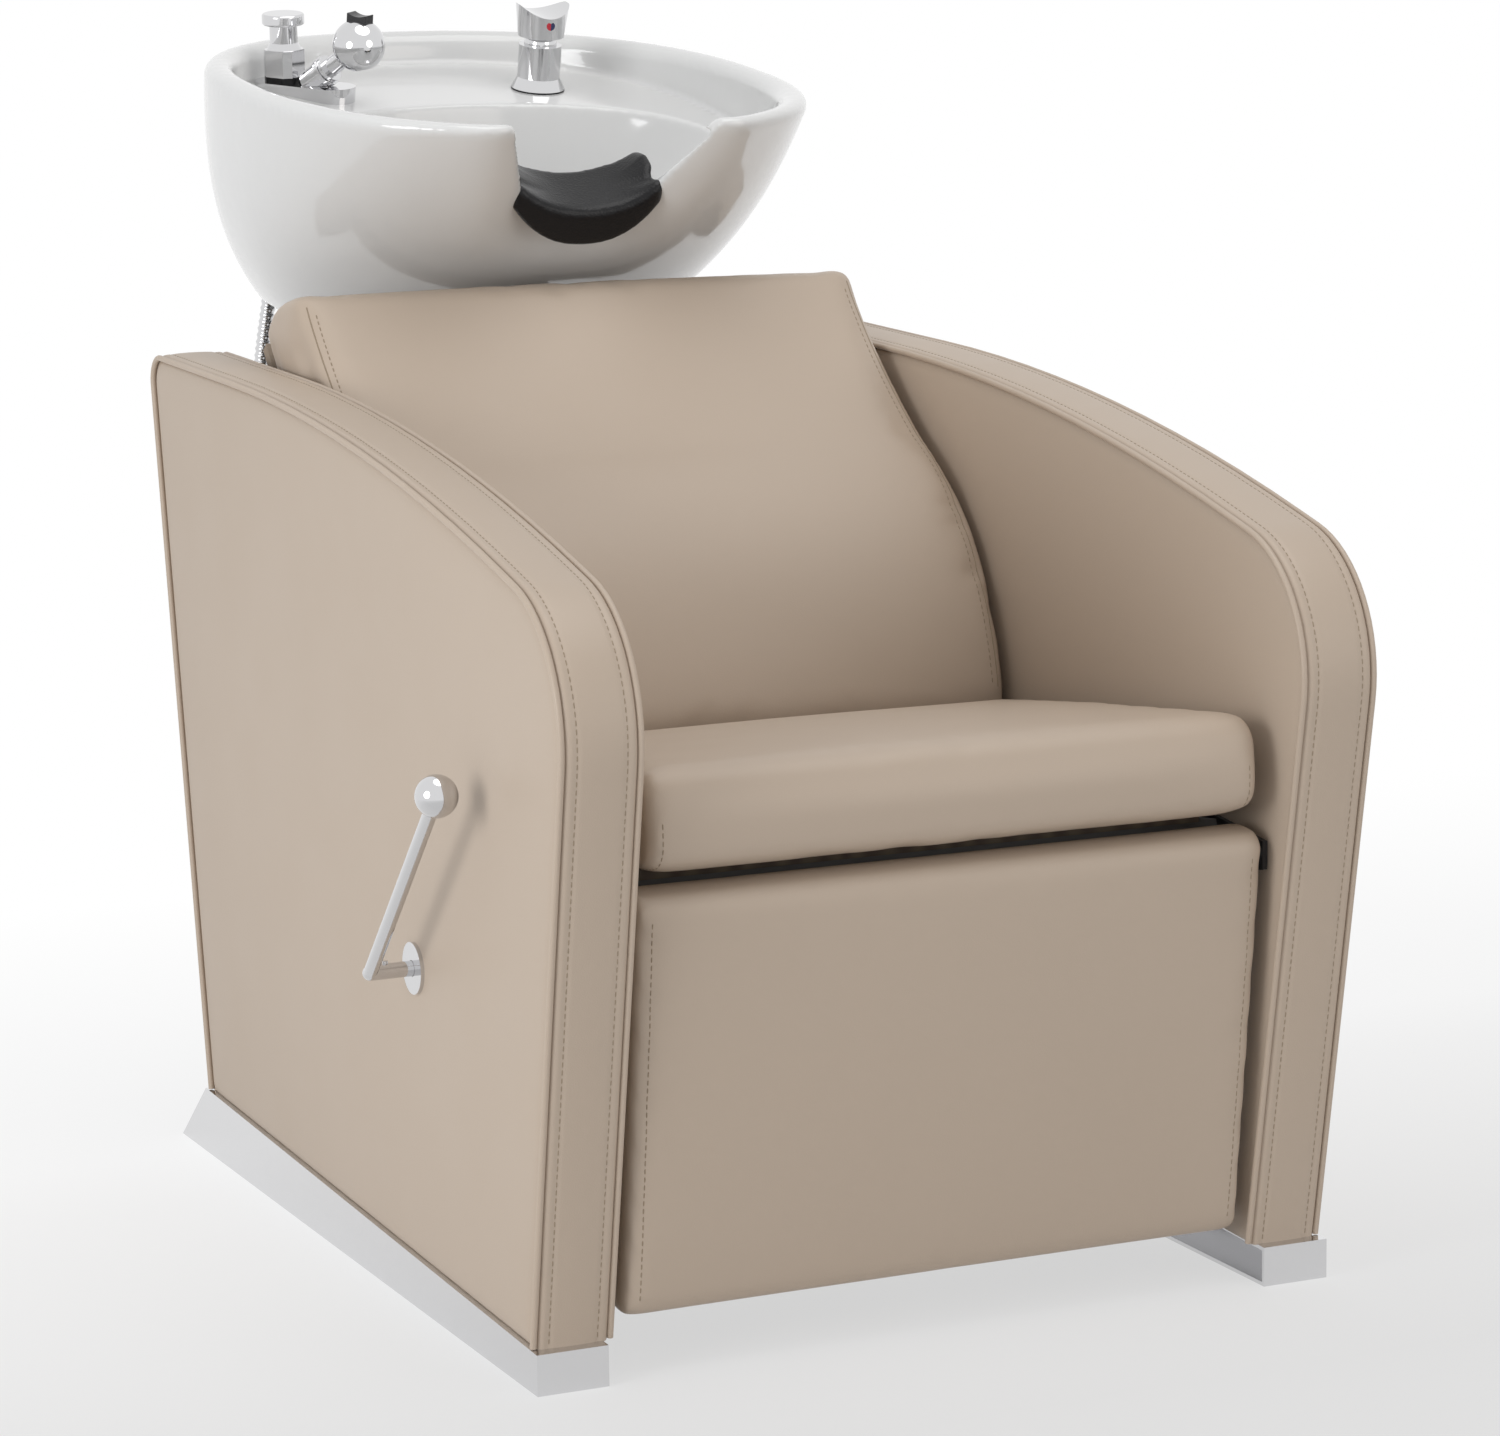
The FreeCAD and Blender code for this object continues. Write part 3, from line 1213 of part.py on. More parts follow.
def make_bowl_cradle():
    """Plate under the bowl with two knuckles on the tilt pin."""
    axis = knuckle_frame()
    top = -BOWL_BOTTOM
    bottom = top - CRADLE_PLATE
    half = CRADLE_HALF_WIDTH
    solids = [block((-half, CRADLE_FRONT, bottom), (half, CRADLE_BACK, top))]
    low = YOKE_HALF_WIDTH + SLIDE_CLEARANCE
    high = low + KNUCKLE_LENGTH
    for x in (low, -high):
        start = FreeCAD.Vector(x, axis.y, axis.z)
        solids.append(rod(start, X_AXIS, KNUCKLE_RADIUS, KNUCKLE_LENGTH))
        web = [
            FreeCAD.Vector(0, CRADLE_FRONT, bottom),
            FreeCAD.Vector(0, CRADLE_FRONT + 3 * KNUCKLE_RADIUS, bottom),
            FreeCAD.Vector(0, axis.y + KNUCKLE_RADIUS, axis.z),
            FreeCAD.Vector(0, axis.y - KNUCKLE_RADIUS, axis.z),
        ]
        web_low = high - YOKE_PLATE if x > 0 else -high
        solids.append(prism(rounded_edges(web, [0] * 4, True), web_low, web_low + YOKE_PLATE))
    bore_start = FreeCAD.Vector(-arm_inner, axis.y, axis.z)
    bore = rod(bore_start, X_AXIS, TILT_PIN_DIAMETER / 2 + RUNNING_CLEARANCE, 2 * arm_inner)
    drain = rod(drain_point(-2 * BOWL_BOTTOM), Z_AXIS, drain_hole_radius(), 2 * BOWL_BOTTOM)
    return bowl_placed(fuse_all(solids).cut(bore).cut(drain))


def drain_point(z):
    return FreeCAD.Vector(0, DRAIN_PLACE, z)


def make_drain_strainer():
    """Flanged drain body in the bottom of the basin, with strainer holes."""
    flange = rod(drain_point(-BASIN_FLOOR), Z_AXIS, DRAIN_FLANGE_DIAMETER / 2, DRAIN_FLANGE_THICKNESS)
    length = BOWL_BOTTOM + CRADLE_PLATE + DRAIN_NUT_HEIGHT - BASIN_FLOOR
    pipe = rod(drain_point(-BASIN_FLOOR - length), Z_AXIS, DRAIN_DIAMETER / 2, length)
    bore_radius = DRAIN_DIAMETER / 2 - DRAIN_TAIL_WALL
    bore = rod(drain_point(-2 * BOWL_BOTTOM), Z_AXIS, bore_radius, 2 * BOWL_BOTTOM - BASIN_FLOOR)
    body = fuse_all([flange, pipe]).cut(bore)
    holes = [rod(drain_point(-2 * BOWL_BOTTOM), Z_AXIS, STRAINER_HOLE_DIAMETER / 2, 2 * BOWL_BOTTOM)]
    for i in range(STRAINER_HOLES):
        turn = 2 * math.pi * i / STRAINER_HOLES
        shift = FreeCAD.Vector(math.cos(turn), math.sin(turn), 0) * (STRAINER_CIRCLE / 2)
        hole = holes[0].copy()
        hole.translate(shift)
        holes.append(hole)
    return bowl_placed(cut_all(body, holes))


def hexagon(centre, across, height):
    corners = []
    for i in range(7):
        turn = math.pi / 3 * i
        reach = FreeCAD.Vector(math.cos(turn), math.sin(turn), 0) * (across / math.sqrt(3))
        corners.append(centre + reach)
    return Part.Face(Part.makePolygon(corners)).extrude(FreeCAD.Vector(0, 0, height))


def make_drain_nut():
    bottom = -BOWL_BOTTOM - CRADLE_PLATE - DRAIN_NUT_HEIGHT
    nut = hexagon(drain_point(bottom), DRAIN_NUT_ACROSS, DRAIN_NUT_HEIGHT)
    thread = rod(drain_point(bottom), Z_AXIS, DRAIN_DIAMETER / 2, DRAIN_NUT_HEIGHT)
    return bowl_placed(nut.cut(thread))


def make_drain_tail():
    top = -BOWL_BOTTOM - CRADLE_PLATE - DRAIN_NUT_HEIGHT
    foot = drain_point(top - DRAIN_TAIL_LENGTH)
    pipe = rod(foot, Z_AXIS, DRAIN_TAIL_DIAMETER / 2, DRAIN_TAIL_LENGTH)
    bore = rod(foot, Z_AXIS, DRAIN_TAIL_DIAMETER / 2 - DRAIN_TAIL_WALL, DRAIN_TAIL_LENGTH)
    return bowl_placed(pipe.cut(bore))


def on_axis(z):
    return FreeCAD.Vector(0, 0, z)


def mixer_placed(shape):
    return bowl_placed(deck_placed(shape, MIXER_PLACE))


def make_mixer_gasket():
    ring = rod(on_axis(0), Z_AXIS, MIXER_FLANGE_DIAMETER / 2, MIXER_GASKET)
    return mixer_placed(ring.cut(rod(on_axis(-1), Z_AXIS, MIXER_SHANK_DIAMETER / 2, MIXER_GASKET + 2)))


def mixer_pivot_height():
    return MIXER_GASKET + MIXER_HEIGHT


def make_mixer_body():
    base = on_axis(MIXER_GASKET)
    flange = Part.makeCone(MIXER_FLANGE_DIAMETER / 2, MIXER_DIAMETER / 2, MIXER_FLANGE_HEIGHT, base)
    barrel = rod(base, Z_AXIS, MIXER_DIAMETER / 2, MIXER_HEIGHT)
    shank_length = MIXER_SHANK_LENGTH + MIXER_GASKET
    shank = rod(on_axis(-MIXER_SHANK_LENGTH), Z_AXIS, MIXER_SHANK_DIAMETER / 2, shank_length)
    bore = rod(base + Z_AXIS * MIXER_FLANGE_HEIGHT, Z_AXIS, MIXER_BORE_DIAMETER / 2, MIXER_HEIGHT)
    body = fuse_all([flange, barrel, shank]).cut(bore)
    for side in (-1, 1):
        place = FreeCAD.Vector(side * INLET_SPACING / 2, 0, -MIXER_SHANK_LENGTH)
        body = body.cut(rod(place, Z_AXIS, INLET_SPIGOT_DIAMETER / 2, INLET_SPIGOT_LENGTH))
    return mixer_placed(body)


def make_supply_inlets():
    """Two pipes under the tap, each with a thinner spigot in the tap's shank."""
    pipes = []
    for side in (-1, 1):
        foot = FreeCAD.Vector(side * INLET_SPACING / 2, 0, -MIXER_SHANK_LENGTH - INLET_LENGTH)
        length = INLET_LENGTH + INLET_SPIGOT_LENGTH
        pipe = rod(foot, Z_AXIS, INLET_DIAMETER / 2, INLET_LENGTH)
        spigot = rod(foot, Z_AXIS, INLET_SPIGOT_DIAMETER / 2, length)
        bore = rod(foot, Z_AXIS, INLET_SPIGOT_DIAMETER / 2 - INLET_WALL, length)
        pipes.append(mixer_placed(fuse_all([pipe, spigot]).cut(bore)))
    return group(pipes)


def make_mixer_cartridge():
    """Turning core with a round top that the handle rocks on."""
    low = MIXER_GASKET + MIXER_FLANGE_HEIGHT + SLIDE_CLEARANCE
    radius = MIXER_BORE_DIAMETER / 2 - RUNNING_CLEARANCE
    core = rod(on_axis(low), Z_AXIS, radius, mixer_pivot_height() - low)
    dome = Part.makeSphere(radius, on_axis(mixer_pivot_height()))
    return mixer_placed(fuse_all([core, dome]))


def make_mixer_handle():
    """Flared cap with a saddle top."""
    low = mixer_pivot_height() + HANDLE_SKIRT_GAP
    cap = Part.makeCone(HANDLE_DIAMETER / 2, HANDLE_TOP_DIAMETER / 2, HANDLE_HEIGHT, on_axis(low))
    centre = low + HANDLE_HEIGHT - HANDLE_SADDLE_DEPTH + HANDLE_SADDLE_RADIUS
    start = FreeCAD.Vector(0, -HANDLE_TOP_DIAMETER, centre)
    saddle = rod(start, FreeCAD.Vector(0, 1, 0), HANDLE_SADDLE_RADIUS, 2 * HANDLE_TOP_DIAMETER)
    cavity = Part.makeSphere(MIXER_BORE_DIAMETER / 2 + SLIDE_CLEARANCE, on_axis(mixer_pivot_height()))
    return mixer_placed(cap.cut(saddle).cut(cavity).cut(indicator_shape()))


def indicator_shape():
    height = mixer_pivot_height() + HANDLE_SKIRT_GAP + HANDLE_HEIGHT * INDICATOR_SHARE
    reach = HANDLE_DIAMETER / 2 + INDICATOR_SHARE * (HANDLE_TOP_DIAMETER - HANDLE_DIAMETER) / 2
    start = FreeCAD.Vector(0, -reach - INDICATOR_PROUD, height)
    return rod(start, FreeCAD.Vector(0, 1, 0), INDICATOR_DIAMETER / 2, INDICATOR_DEPTH)


def make_mixer_indicator():
    return mixer_placed(indicator_shape())


def fixture_local(shape):
    """Turns a piece from the fixture's own frame, X along the base to its front end."""
    shape.rotate(FreeCAD.Vector(0, 0, 0), Z_AXIS, FIXTURE_TURN)
    return shape


def fixture_placed(shape):
    return deck_placed(fixture_local(shape), FIXTURE_PLACE)


def fixture_top(x):
    """Height of the wedge-shaped base above the deck at a place along it."""
    share = x / FIXTURE_LENGTH + 0.5
    return FIXTURE_REAR_HEIGHT + (FIXTURE_FRONT_HEIGHT - FIXTURE_REAR_HEIGHT) * share


def fixture_slope():
    return math.degrees(math.atan((FIXTURE_FRONT_HEIGHT - FIXTURE_REAR_HEIGHT) / FIXTURE_LENGTH))


def fixture_outline():
    """The oblong base as a column, before its top is cut."""
    half = FIXTURE_LENGTH / 2 - FIXTURE_WIDTH / 2
    ends = [rod(FreeCAD.Vector(x, 0, 0), Z_AXIS, FIXTURE_WIDTH / 2, OVERCUT) for x in (-half, half)]
    middle = block((-half, -FIXTURE_WIDTH / 2, 0), (half, FIXTURE_WIDTH / 2, OVERCUT))
    return fuse_all([middle] + ends)


def make_fixture_base():
    above = block((-FIXTURE_LENGTH, -FIXTURE_LENGTH, 0), (FIXTURE_LENGTH, FIXTURE_LENGTH, 2 * OVERCUT))
    above.rotate(FreeCAD.Vector(0, 0, 0), FreeCAD.Vector(0, 1, 0), -fixture_slope())
    above.translate(on_axis(fixture_top(0.0)))
    body = fixture_outline().cut(above).cut(breaker_hole()).cut(guide_hole())
    return bowl_placed(fixture_placed(body))


def breaker_base():
    return FreeCAD.Vector(BREAKER_PLACE, 0, 0)


def breaker_hole():
    start = breaker_tail_base() - Z_AXIS * OVERCUT
    return rod(start, Z_AXIS, BREAKER_TAIL_DIAMETER / 2 + HOLE_CLEARANCE, 2 * OVERCUT)


def breaker_tail_base():
    """The tail stands behind the middle of the breaker, clear of the hose guide."""
    return FreeCAD.Vector(BREAKER_PLACE - BREAKER_TAIL_SETBACK, 0, 0)


def breaker_levelled(shape):
    """Stands a breaker piece square on the wedge's top."""
    shape.rotate(FreeCAD.Vector(0, 0, 0), FreeCAD.Vector(0, 1, 0), -fixture_slope())
    shape.translate(breaker_base() + Z_AXIS * fixture_top(BREAKER_PLACE))
    return bowl_placed(fixture_placed(shape))


def breaker_block(low, high, half, chamfer):
    """Square column with chamfered edges."""
    corners = []
    for sx, sy in ((1, -1), (1, 1), (-1, 1), (-1, -1)):
        first = FreeCAD.Vector(sx * half, sy * (half - chamfer), low)
        second = FreeCAD.Vector(sx * (half - chamfer), sy * half, low)
        corners += [first, second] if sx * sy > 0 else [second, first]
    return Part.Face(Part.makePolygon(corners + corners[:1])).extrude(on_axis(high - low))


def make_breaker_gasket():
    pad = breaker_block(0.0, BREAKER_GASKET, BREAKER_WIDTH / 2, BREAKER_CHAMFER)
    return breaker_levelled(pad)


def make_breaker_body():
    """Chamfered block with a round neck."""
    half = BREAKER_WIDTH / 2
    low = BREAKER_GASKET
    high = low + BREAKER_BLOCK_HEIGHT
    lower = breaker_block(low, high - BREAKER_CHAMFER, half, BREAKER_CHAMFER)
    shoulder_base = on_axis(high - BREAKER_CHAMFER)
    shoulder = Part.makeCone(half, BREAKER_NECK_DIAMETER / 2, BREAKER_CHAMFER, shoulder_base)
    neck = rod(on_axis(high - BREAKER_CHAMFER), Z_AXIS, BREAKER_NECK_DIAMETER / 2, BREAKER_NECK_HEIGHT)
    return breaker_levelled(fuse_all([lower, shoulder, neck]))


def breaker_neck_top():
    return BREAKER_GASKET + BREAKER_BLOCK_HEIGHT - BREAKER_CHAMFER + BREAKER_NECK_HEIGHT


def make_breaker_cap():
    cap = rod(on_axis(breaker_neck_top()), Z_AXIS, BREAKER_CAP_DIAMETER / 2, BREAKER_CAP_HEIGHT)
    rims = [edge for edge in cap.Edges if edge.Closed]
    return breaker_levelled(cap.makeFillet(BREAKER_CAP_ROUND, rims))


def make_breaker_tail():
    """Pipe from the breaker's base down through the deck to the hose."""
    start = breaker_tail_base() - Z_AXIS * (DECK_THICKNESS + BREAKER_TAIL_LENGTH)
    length = DECK_THICKNESS + BREAKER_TAIL_LENGTH + FIXTURE_REAR_HEIGHT
    pipe = rod(start, Z_AXIS, BREAKER_TAIL_DIAMETER / 2, length)
    return bowl_placed(fixture_placed(pipe.cut(rod(start, Z_AXIS, HOSE_BORE / 2, length))))


def guide_axis():
    rise = math.radians(GUIDE_ELEVATION)
    return FreeCAD.Vector(math.cos(rise), 0, math.sin(rise))


def guide_mouth():
    """Centre of the ring where the spray head rests, in the fixture's frame."""
    return FreeCAD.Vector(GUIDE_PLACE, 0, fixture_top(GUIDE_PLACE) + GUIDE_RISE)


def guide_tail_base():
    """Where the guide's slanted socket turns straight down."""
    return guide_mouth() - guide_axis() * GUIDE_SOCKET_DEPTH


def guide_hole():
    start = guide_tail_base() - Z_AXIS * (2 * OVERCUT)
    drop = rod(start, Z_AXIS, GUIDE_TAIL_DIAMETER / 2 + HOLE_CLEARANCE, 2 * OVERCUT)
    socket = rod(guide_tail_base(), guide_axis(), GUIDE_DIAMETER / 2 + HOLE_CLEARANCE, GUIDE_SOCKET_DEPTH)
    ball = Part.makeSphere(GUIDE_TAIL_DIAMETER / 2 + HOLE_CLEARANCE, guide_tail_base())
    return fuse_all([drop, socket, ball])


def make_hose_guide():
    """Slanted socket for the spray head, which turns down through the base and the deck."""
    mouth = guide_mouth()
    axis = guide_axis()
    turn = guide_tail_base()
    foot = guide_foot()
    socket = rod(turn, axis, GUIDE_DIAMETER / 2, GUIDE_SOCKET_DEPTH)
    ring = rod(mouth - axis * GUIDE_RING_HEIGHT, axis, GUIDE_RING_DIAMETER / 2, GUIDE_RING_HEIGHT)
    elbow = Part.makeSphere(GUIDE_TAIL_DIAMETER / 2, turn)
    drop = rod(foot, Z_AXIS, GUIDE_TAIL_DIAMETER / 2, turn.z - foot.z)
    bore_base = mouth - axis * (SPRAY_NECK_INSERT + SLIDE_CLEARANCE)
    bore = rod(bore_base, axis, spray_bore_radius(), 2 * SPRAY_NECK_INSERT)
    passage = rod(foot, Z_AXIS, HOSE_BORE / 2, turn.z - foot.z)
    inlet = rod(turn, axis, HOSE_BORE / 2, GUIDE_SOCKET_DEPTH)
    body = cut_all(fuse_all([socket, ring, elbow, drop]), [bore, passage, inlet])
    return bowl_placed(fixture_placed(body))


def guide_foot():
    turn = guide_tail_base()
    return FreeCAD.Vector(turn.x, 0, -DECK_THICKNESS - GUIDE_TAIL_LENGTH)


def spray_bore_radius():
    return SPRAY_NECK_DIAMETER / 2 + RUNNING_CLEARANCE


def spray_ball_centre():
    return guide_mouth() + guide_axis() * SPRAY_BALL_DISTANCE


def make_spray_neck():
    """Sleeve of the spray head that stands in the guide."""
    mouth = guide_mouth()
    axis = guide_axis()
    start = mouth - axis * SPRAY_NECK_INSERT
    body = rod(start, axis, SPRAY_NECK_DIAMETER / 2, SPRAY_NECK_INSERT + SPRAY_BALL_DISTANCE)
    collar = rod(mouth + axis * SLIDE_CLEARANCE, axis, GUIDE_DIAMETER / 2, GUIDE_RING_HEIGHT)
    return body.fuse(collar)


def spray_ball():
    return Part.makeSphere(SPRAY_BALL_DIAMETER / 2, spray_ball_centre())


def spray_side(turn):
    """Direction from the ball, turned downwards from the way that the neck points."""
    angle = math.radians(GUIDE_ELEVATION - turn)
    return FreeCAD.Vector(math.cos(angle), 0, math.sin(angle))


def spray_face_shape():
    out = spray_side(SPRAY_FACE_TURN)
    reach = math.sqrt((SPRAY_BALL_DIAMETER / 2) ** 2 - (SPRAY_FACE_DIAMETER / 2) ** 2)
    start = spray_ball_centre() + out * (reach - SPRAY_FACE_DEPTH)
    return rod(start, out, SPRAY_FACE_DIAMETER / 2, SPRAY_FACE_DEPTH)


def spray_face_bore():
    face = spray_face_shape()
    lip = face.copy()
    lip.translate(spray_side(SPRAY_FACE_TURN) * SPRAY_FACE_DEPTH)
    return face.fuse(lip).removeSplitter()


def trigger_shape(grow, depth):
    """Rocker pad on top of the ball, or the slot for it."""
    half_length = TRIGGER_LENGTH / 2 + grow
    half_width = TRIGGER_WIDTH / 2 + grow
    top = SPRAY_BALL_DIAMETER / 2 + TRIGGER_PROUD
    pad = block((-half_length, -half_width, top - depth), (half_length, half_width, top))
    pad.translate(spray_ball_centre())
    return pad


def make_spray_head():
    """Ball with its outlet seat and trigger slot, and the neck below it."""
    slot = trigger_shape(SLIDE_CLEARANCE, TRIGGER_HEIGHT + TRIGGER_TRAVEL)
    start = guide_mouth() - guide_axis() * SPRAY_NECK_INSERT
    bore = rod(start, guide_axis(), HOSE_BORE / 2, SPRAY_NECK_INSERT)
    body = fuse_all([spray_ball(), make_spray_neck()])
    return bowl_placed(fixture_placed(cut_all(body, [spray_face_bore(), slot, bore])))


def make_spray_face():
    return bowl_placed(fixture_placed(spray_face_shape()))


def make_spray_trigger():
    pad = trigger_shape(0.0, TRIGGER_HEIGHT)
    top = SPRAY_BALL_DIAMETER / 2 + TRIGGER_PROUD
    start = spray_ball_centre() + FreeCAD.Vector(0, -TRIGGER_WIDTH, top + TRIGGER_DIP_RADIUS - TRIGGER_DIP)
    dip = rod(start, FreeCAD.Vector(0, 1, 0), TRIGGER_DIP_RADIUS, 2 * TRIGGER_WIDTH)
    return bowl_placed(fixture_placed(pad.cut(dip)))


def make_lock_nuts():
    """Nuts under the deck on the mixer's shank and the breaker's tail."""
    down = Z_AXIS * (DECK_THICKNESS + LOCK_NUT_THICKNESS)
    nuts = []
    for place, diameter in ((on_axis(0), MIXER_SHANK_DIAMETER), (breaker_tail_base(), BREAKER_TAIL_DIAMETER)):
        nut = hexagon(place - down, diameter + LOCK_NUT_MARGIN, LOCK_NUT_THICKNESS)
        nuts.append(nut.cut(rod(place - down, Z_AXIS, diameter / 2, LOCK_NUT_THICKNESS)))
    return group([mixer_placed(nuts[0]), bowl_placed(fixture_placed(nuts[1]))])


def fixture_point(point):
    """A point of the fixture's own frame, in the part's frame."""
    vertex = bowl_placed(fixture_placed(Part.Vertex(point)))
    return vertex.Point


class Route:
    """Straight runs with tangent arcs, measured by the distance along them."""

    def __init__(self, points):
        self.pieces = []
        start = points[0]
        for i in range(1, len(points) - 1):
            before, corner, after = points[i - 1:i + 2]
            back = before - corner
            ahead = after - corner
            half = back.getAngle(ahead) / 2
            shorter = min(back.Length, ahead.Length)
            radius = ROUTE_SHARE * shorter * math.tan(half)
            first, middle, last = corner_arc(before, corner, after, radius)
            self.pieces.append(Part.makeLine(start, first))
            self.pieces.append(Part.Arc(first, middle, last).toShape())
            print("bend radius", round(radius, 1))
            start = last
        self.pieces.append(Part.makeLine(start, points[-1]))
        self.length = sum(piece.Length for piece in self.pieces)

    def at(self, distance):
        """Point and heading at a distance along the route."""
        for piece in self.pieces:
            if distance <= piece.Length or piece is self.pieces[-1]:
                place = piece.getParameterByLength(min(distance, piece.Length))
                return piece.valueAt(place), piece.tangentAt(place)
            distance -= piece.Length


def route_circle(route, distance, radius):
    """Circle square to the route, with its start on a steady side."""
    point, heading = route.at(distance)
    side = heading.cross(HOSE_STEADY_SIDE).normalize()
    turn = FreeCAD.Rotation(side, heading.cross(side), heading, "ZXY")
    circle = Part.Wire(Part.makeCircle(radius))
    circle.Placement = FreeCAD.Placement(point, turn)
    return circle


def hose_route():
    """From under the breaker's tail, down, round the loop and up to the guide's foot."""
    tail = fixture_point(breaker_tail_base() - Z_AXIS * (DECK_THICKNESS + BREAKER_TAIL_LENGTH))
    foot = fixture_point(guide_foot())
    down = fixture_point(FreeCAD.Vector(0, 0, -HOSE_LEAD)) - fixture_point(FreeCAD.Vector(0, 0, 0))
    loop = [behind(y, z, x) for x, y, z in HOSE_POINTS]
    return Route([tail, tail + down] + loop + [foot + down, foot])


def make_spray_hose():
    """Ribbed metal hose with its bore."""
    route = hose_route()
    print("hose length", round(route.length, 1))
    pitch = route.length / HOSE_RIBS
    outer = HOSE_DIAMETER / 2
    valley = outer - HOSE_RIB_DEPTH
    circles = []
    for i in range(HOSE_RIBS):
        for share, radius in zip(RIB_STEPS, (valley, outer, outer, valley)):
            circles.append(route_circle(route, (i + share) * pitch, radius))
    circles.append(route_circle(route, route.length, valley))
    skin = Part.makeLoft(circles, True, True)
    steps = 4 * HOSE_RIBS // 5
    core = [route_circle(route, route.length * i / steps, HOSE_BORE / 2) for i in range(steps + 1)]
    return skin.cut(Part.makeLoft(core, True, True))


def export(name, shape):
    shape.exportStep(os.path.join("parts", name + ".step"))


def main():
    os.makedirs("parts", exist_ok=True)
    left_foot, right_foot = make_feet()
    export("left_foot", left_foot)
    export("right_foot", right_foot)
    export("foot_bolts", make_foot_bolts())
    frame = make_arm_frame()
    outer, inner = make_arm_panels()
    band = make_arm_band()
    piping = make_arm_piping()
    side_plate = make_side_plate()
    export("arm_frames", group([mirrored(frame), frame]))
    export("right_outer_panel", outer)
    export("left_outer_panel", mirrored(outer).cut(lever_passage()))
    export("right_inner_panel", inner)
    export("left_inner_panel", mirrored(inner).cut(lever_bore()))
    export("arm_bands", group([mirrored(band), band]))
    export("arm_piping", group([mirrored(piping), piping]))
    export("right_side_plate", side_plate)
    export("left_side_plate", mirrored(side_plate).cut(lever_bore()))
    export("side_plate_bolts", make_side_bolts())
    export("seat_cushion", make_seat_cushion())
    export("seat_board", make_seat_board())
    export("seat_rails", make_seat_rails())
    export("back_cushion", make_back_cushion())
    export("back_board", back_layer(BACK_COVER, BACK_BOARD, BACK_HALF_WIDTH - SEAT_BOARD_SIDE_INSET))
    export("back_cover", back_layer(0.0, BACK_COVER, BACK_HALF_WIDTH))
    export("back_rails", make_back_rails())
    export("rear_rails", make_rear_rails())
    export("bowl_column", make_bowl_column())
    export("bowl_yoke", make_bowl_yoke())
    export("tilt_pin", make_tilt_pin())
    export("lever_rosette", make_lever_rosette())
    export("lever_bush", make_lever_bush())
    export("legrest_pins", make_legrest_pins())
    export("legrest_cushion", make_legrest_cushion())
    export("legrest_board", make_legrest_board())
    export("legrest_hinge_tube", make_legrest_tube())
    export("legrest_link_bracket", make_link_bracket())
    export("lever_shaft", make_lever_shaft())
    export("lever_rod", make_lever_rod())
    export("lever_knob", make_lever_knob())
    export("lever_set_screw", make_set_screw())
    export("lever_crank", make_lever_crank())
    export("leg_link", make_leg_link())
    export("bowl", make_bowl())
    export("neck_rest", make_neck_rest())
    export("bowl_cradle", make_bowl_cradle())
    export("drain_strainer", make_drain_strainer())
    export("drain_nut", make_drain_nut())
    export("drain_tailpiece", make_drain_tail())
    export("mixer_gasket", make_mixer_gasket())
    export("mixer_body", make_mixer_body())
    export("mixer_cartridge", make_mixer_cartridge())
    export("mixer_handle", make_mixer_handle())
    export("mixer_indicator", make_mixer_indicator())
    export("supply_inlets", make_supply_inlets())
    export("deck_lock_nuts", make_lock_nuts())
    export("fixture_base", make_fixture_base())
    export("breaker_gasket", make_breaker_gasket())
    export("breaker_body", make_breaker_body())
    export("breaker_cap", make_breaker_cap())
    export("breaker_tail", make_breaker_tail())
    export("hose_guide", make_hose_guide())
    export("spray_head", make_spray_head())
    export("spray_face", make_spray_face())
    export("spray_trigger", make_spray_trigger())
    export("spray_hose", make_spray_hose())


main()
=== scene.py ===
import json
import math
from collections import Counter

import bmesh
import bpy
import numpy as np
from mathutils import Matrix, Vector
from mathutils.bvhtree import BVHTree
from mathutils.geometry import delaunay_2d_cdt


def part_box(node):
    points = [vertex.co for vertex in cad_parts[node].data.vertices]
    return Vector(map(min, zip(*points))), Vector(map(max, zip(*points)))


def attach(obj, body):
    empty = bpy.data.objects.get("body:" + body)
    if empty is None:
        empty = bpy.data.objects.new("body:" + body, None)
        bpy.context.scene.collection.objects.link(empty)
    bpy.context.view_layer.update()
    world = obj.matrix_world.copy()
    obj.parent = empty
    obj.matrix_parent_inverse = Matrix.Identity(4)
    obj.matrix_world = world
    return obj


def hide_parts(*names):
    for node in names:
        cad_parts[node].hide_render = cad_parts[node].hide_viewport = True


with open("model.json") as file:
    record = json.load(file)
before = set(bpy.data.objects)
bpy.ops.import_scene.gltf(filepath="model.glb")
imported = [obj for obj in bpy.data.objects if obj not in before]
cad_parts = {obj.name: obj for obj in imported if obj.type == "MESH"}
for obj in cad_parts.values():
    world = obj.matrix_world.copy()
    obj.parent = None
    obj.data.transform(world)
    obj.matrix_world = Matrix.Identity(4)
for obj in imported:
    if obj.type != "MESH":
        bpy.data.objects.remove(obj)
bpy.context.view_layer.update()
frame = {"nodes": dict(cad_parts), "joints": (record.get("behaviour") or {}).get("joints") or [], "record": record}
nodes = frame["nodes"]

# Camera, from the perspective of the photograph
CAMERA_PLACE = (-1.5196, -3.4399, 1.0481)
CAMERA_AZIMUTH = -24.312
CAMERA_ELEVATION = 9.698
CAMERA_ROLL = -0.824
CAMERA_LENS = 112.44
CAMERA_SENSOR = 36.0

# Sides and directions
HANDS = ((-1, "left"), (1, "right"))
BACKWARDS = (0, 1, 0)
IN_FRONT = -1.5

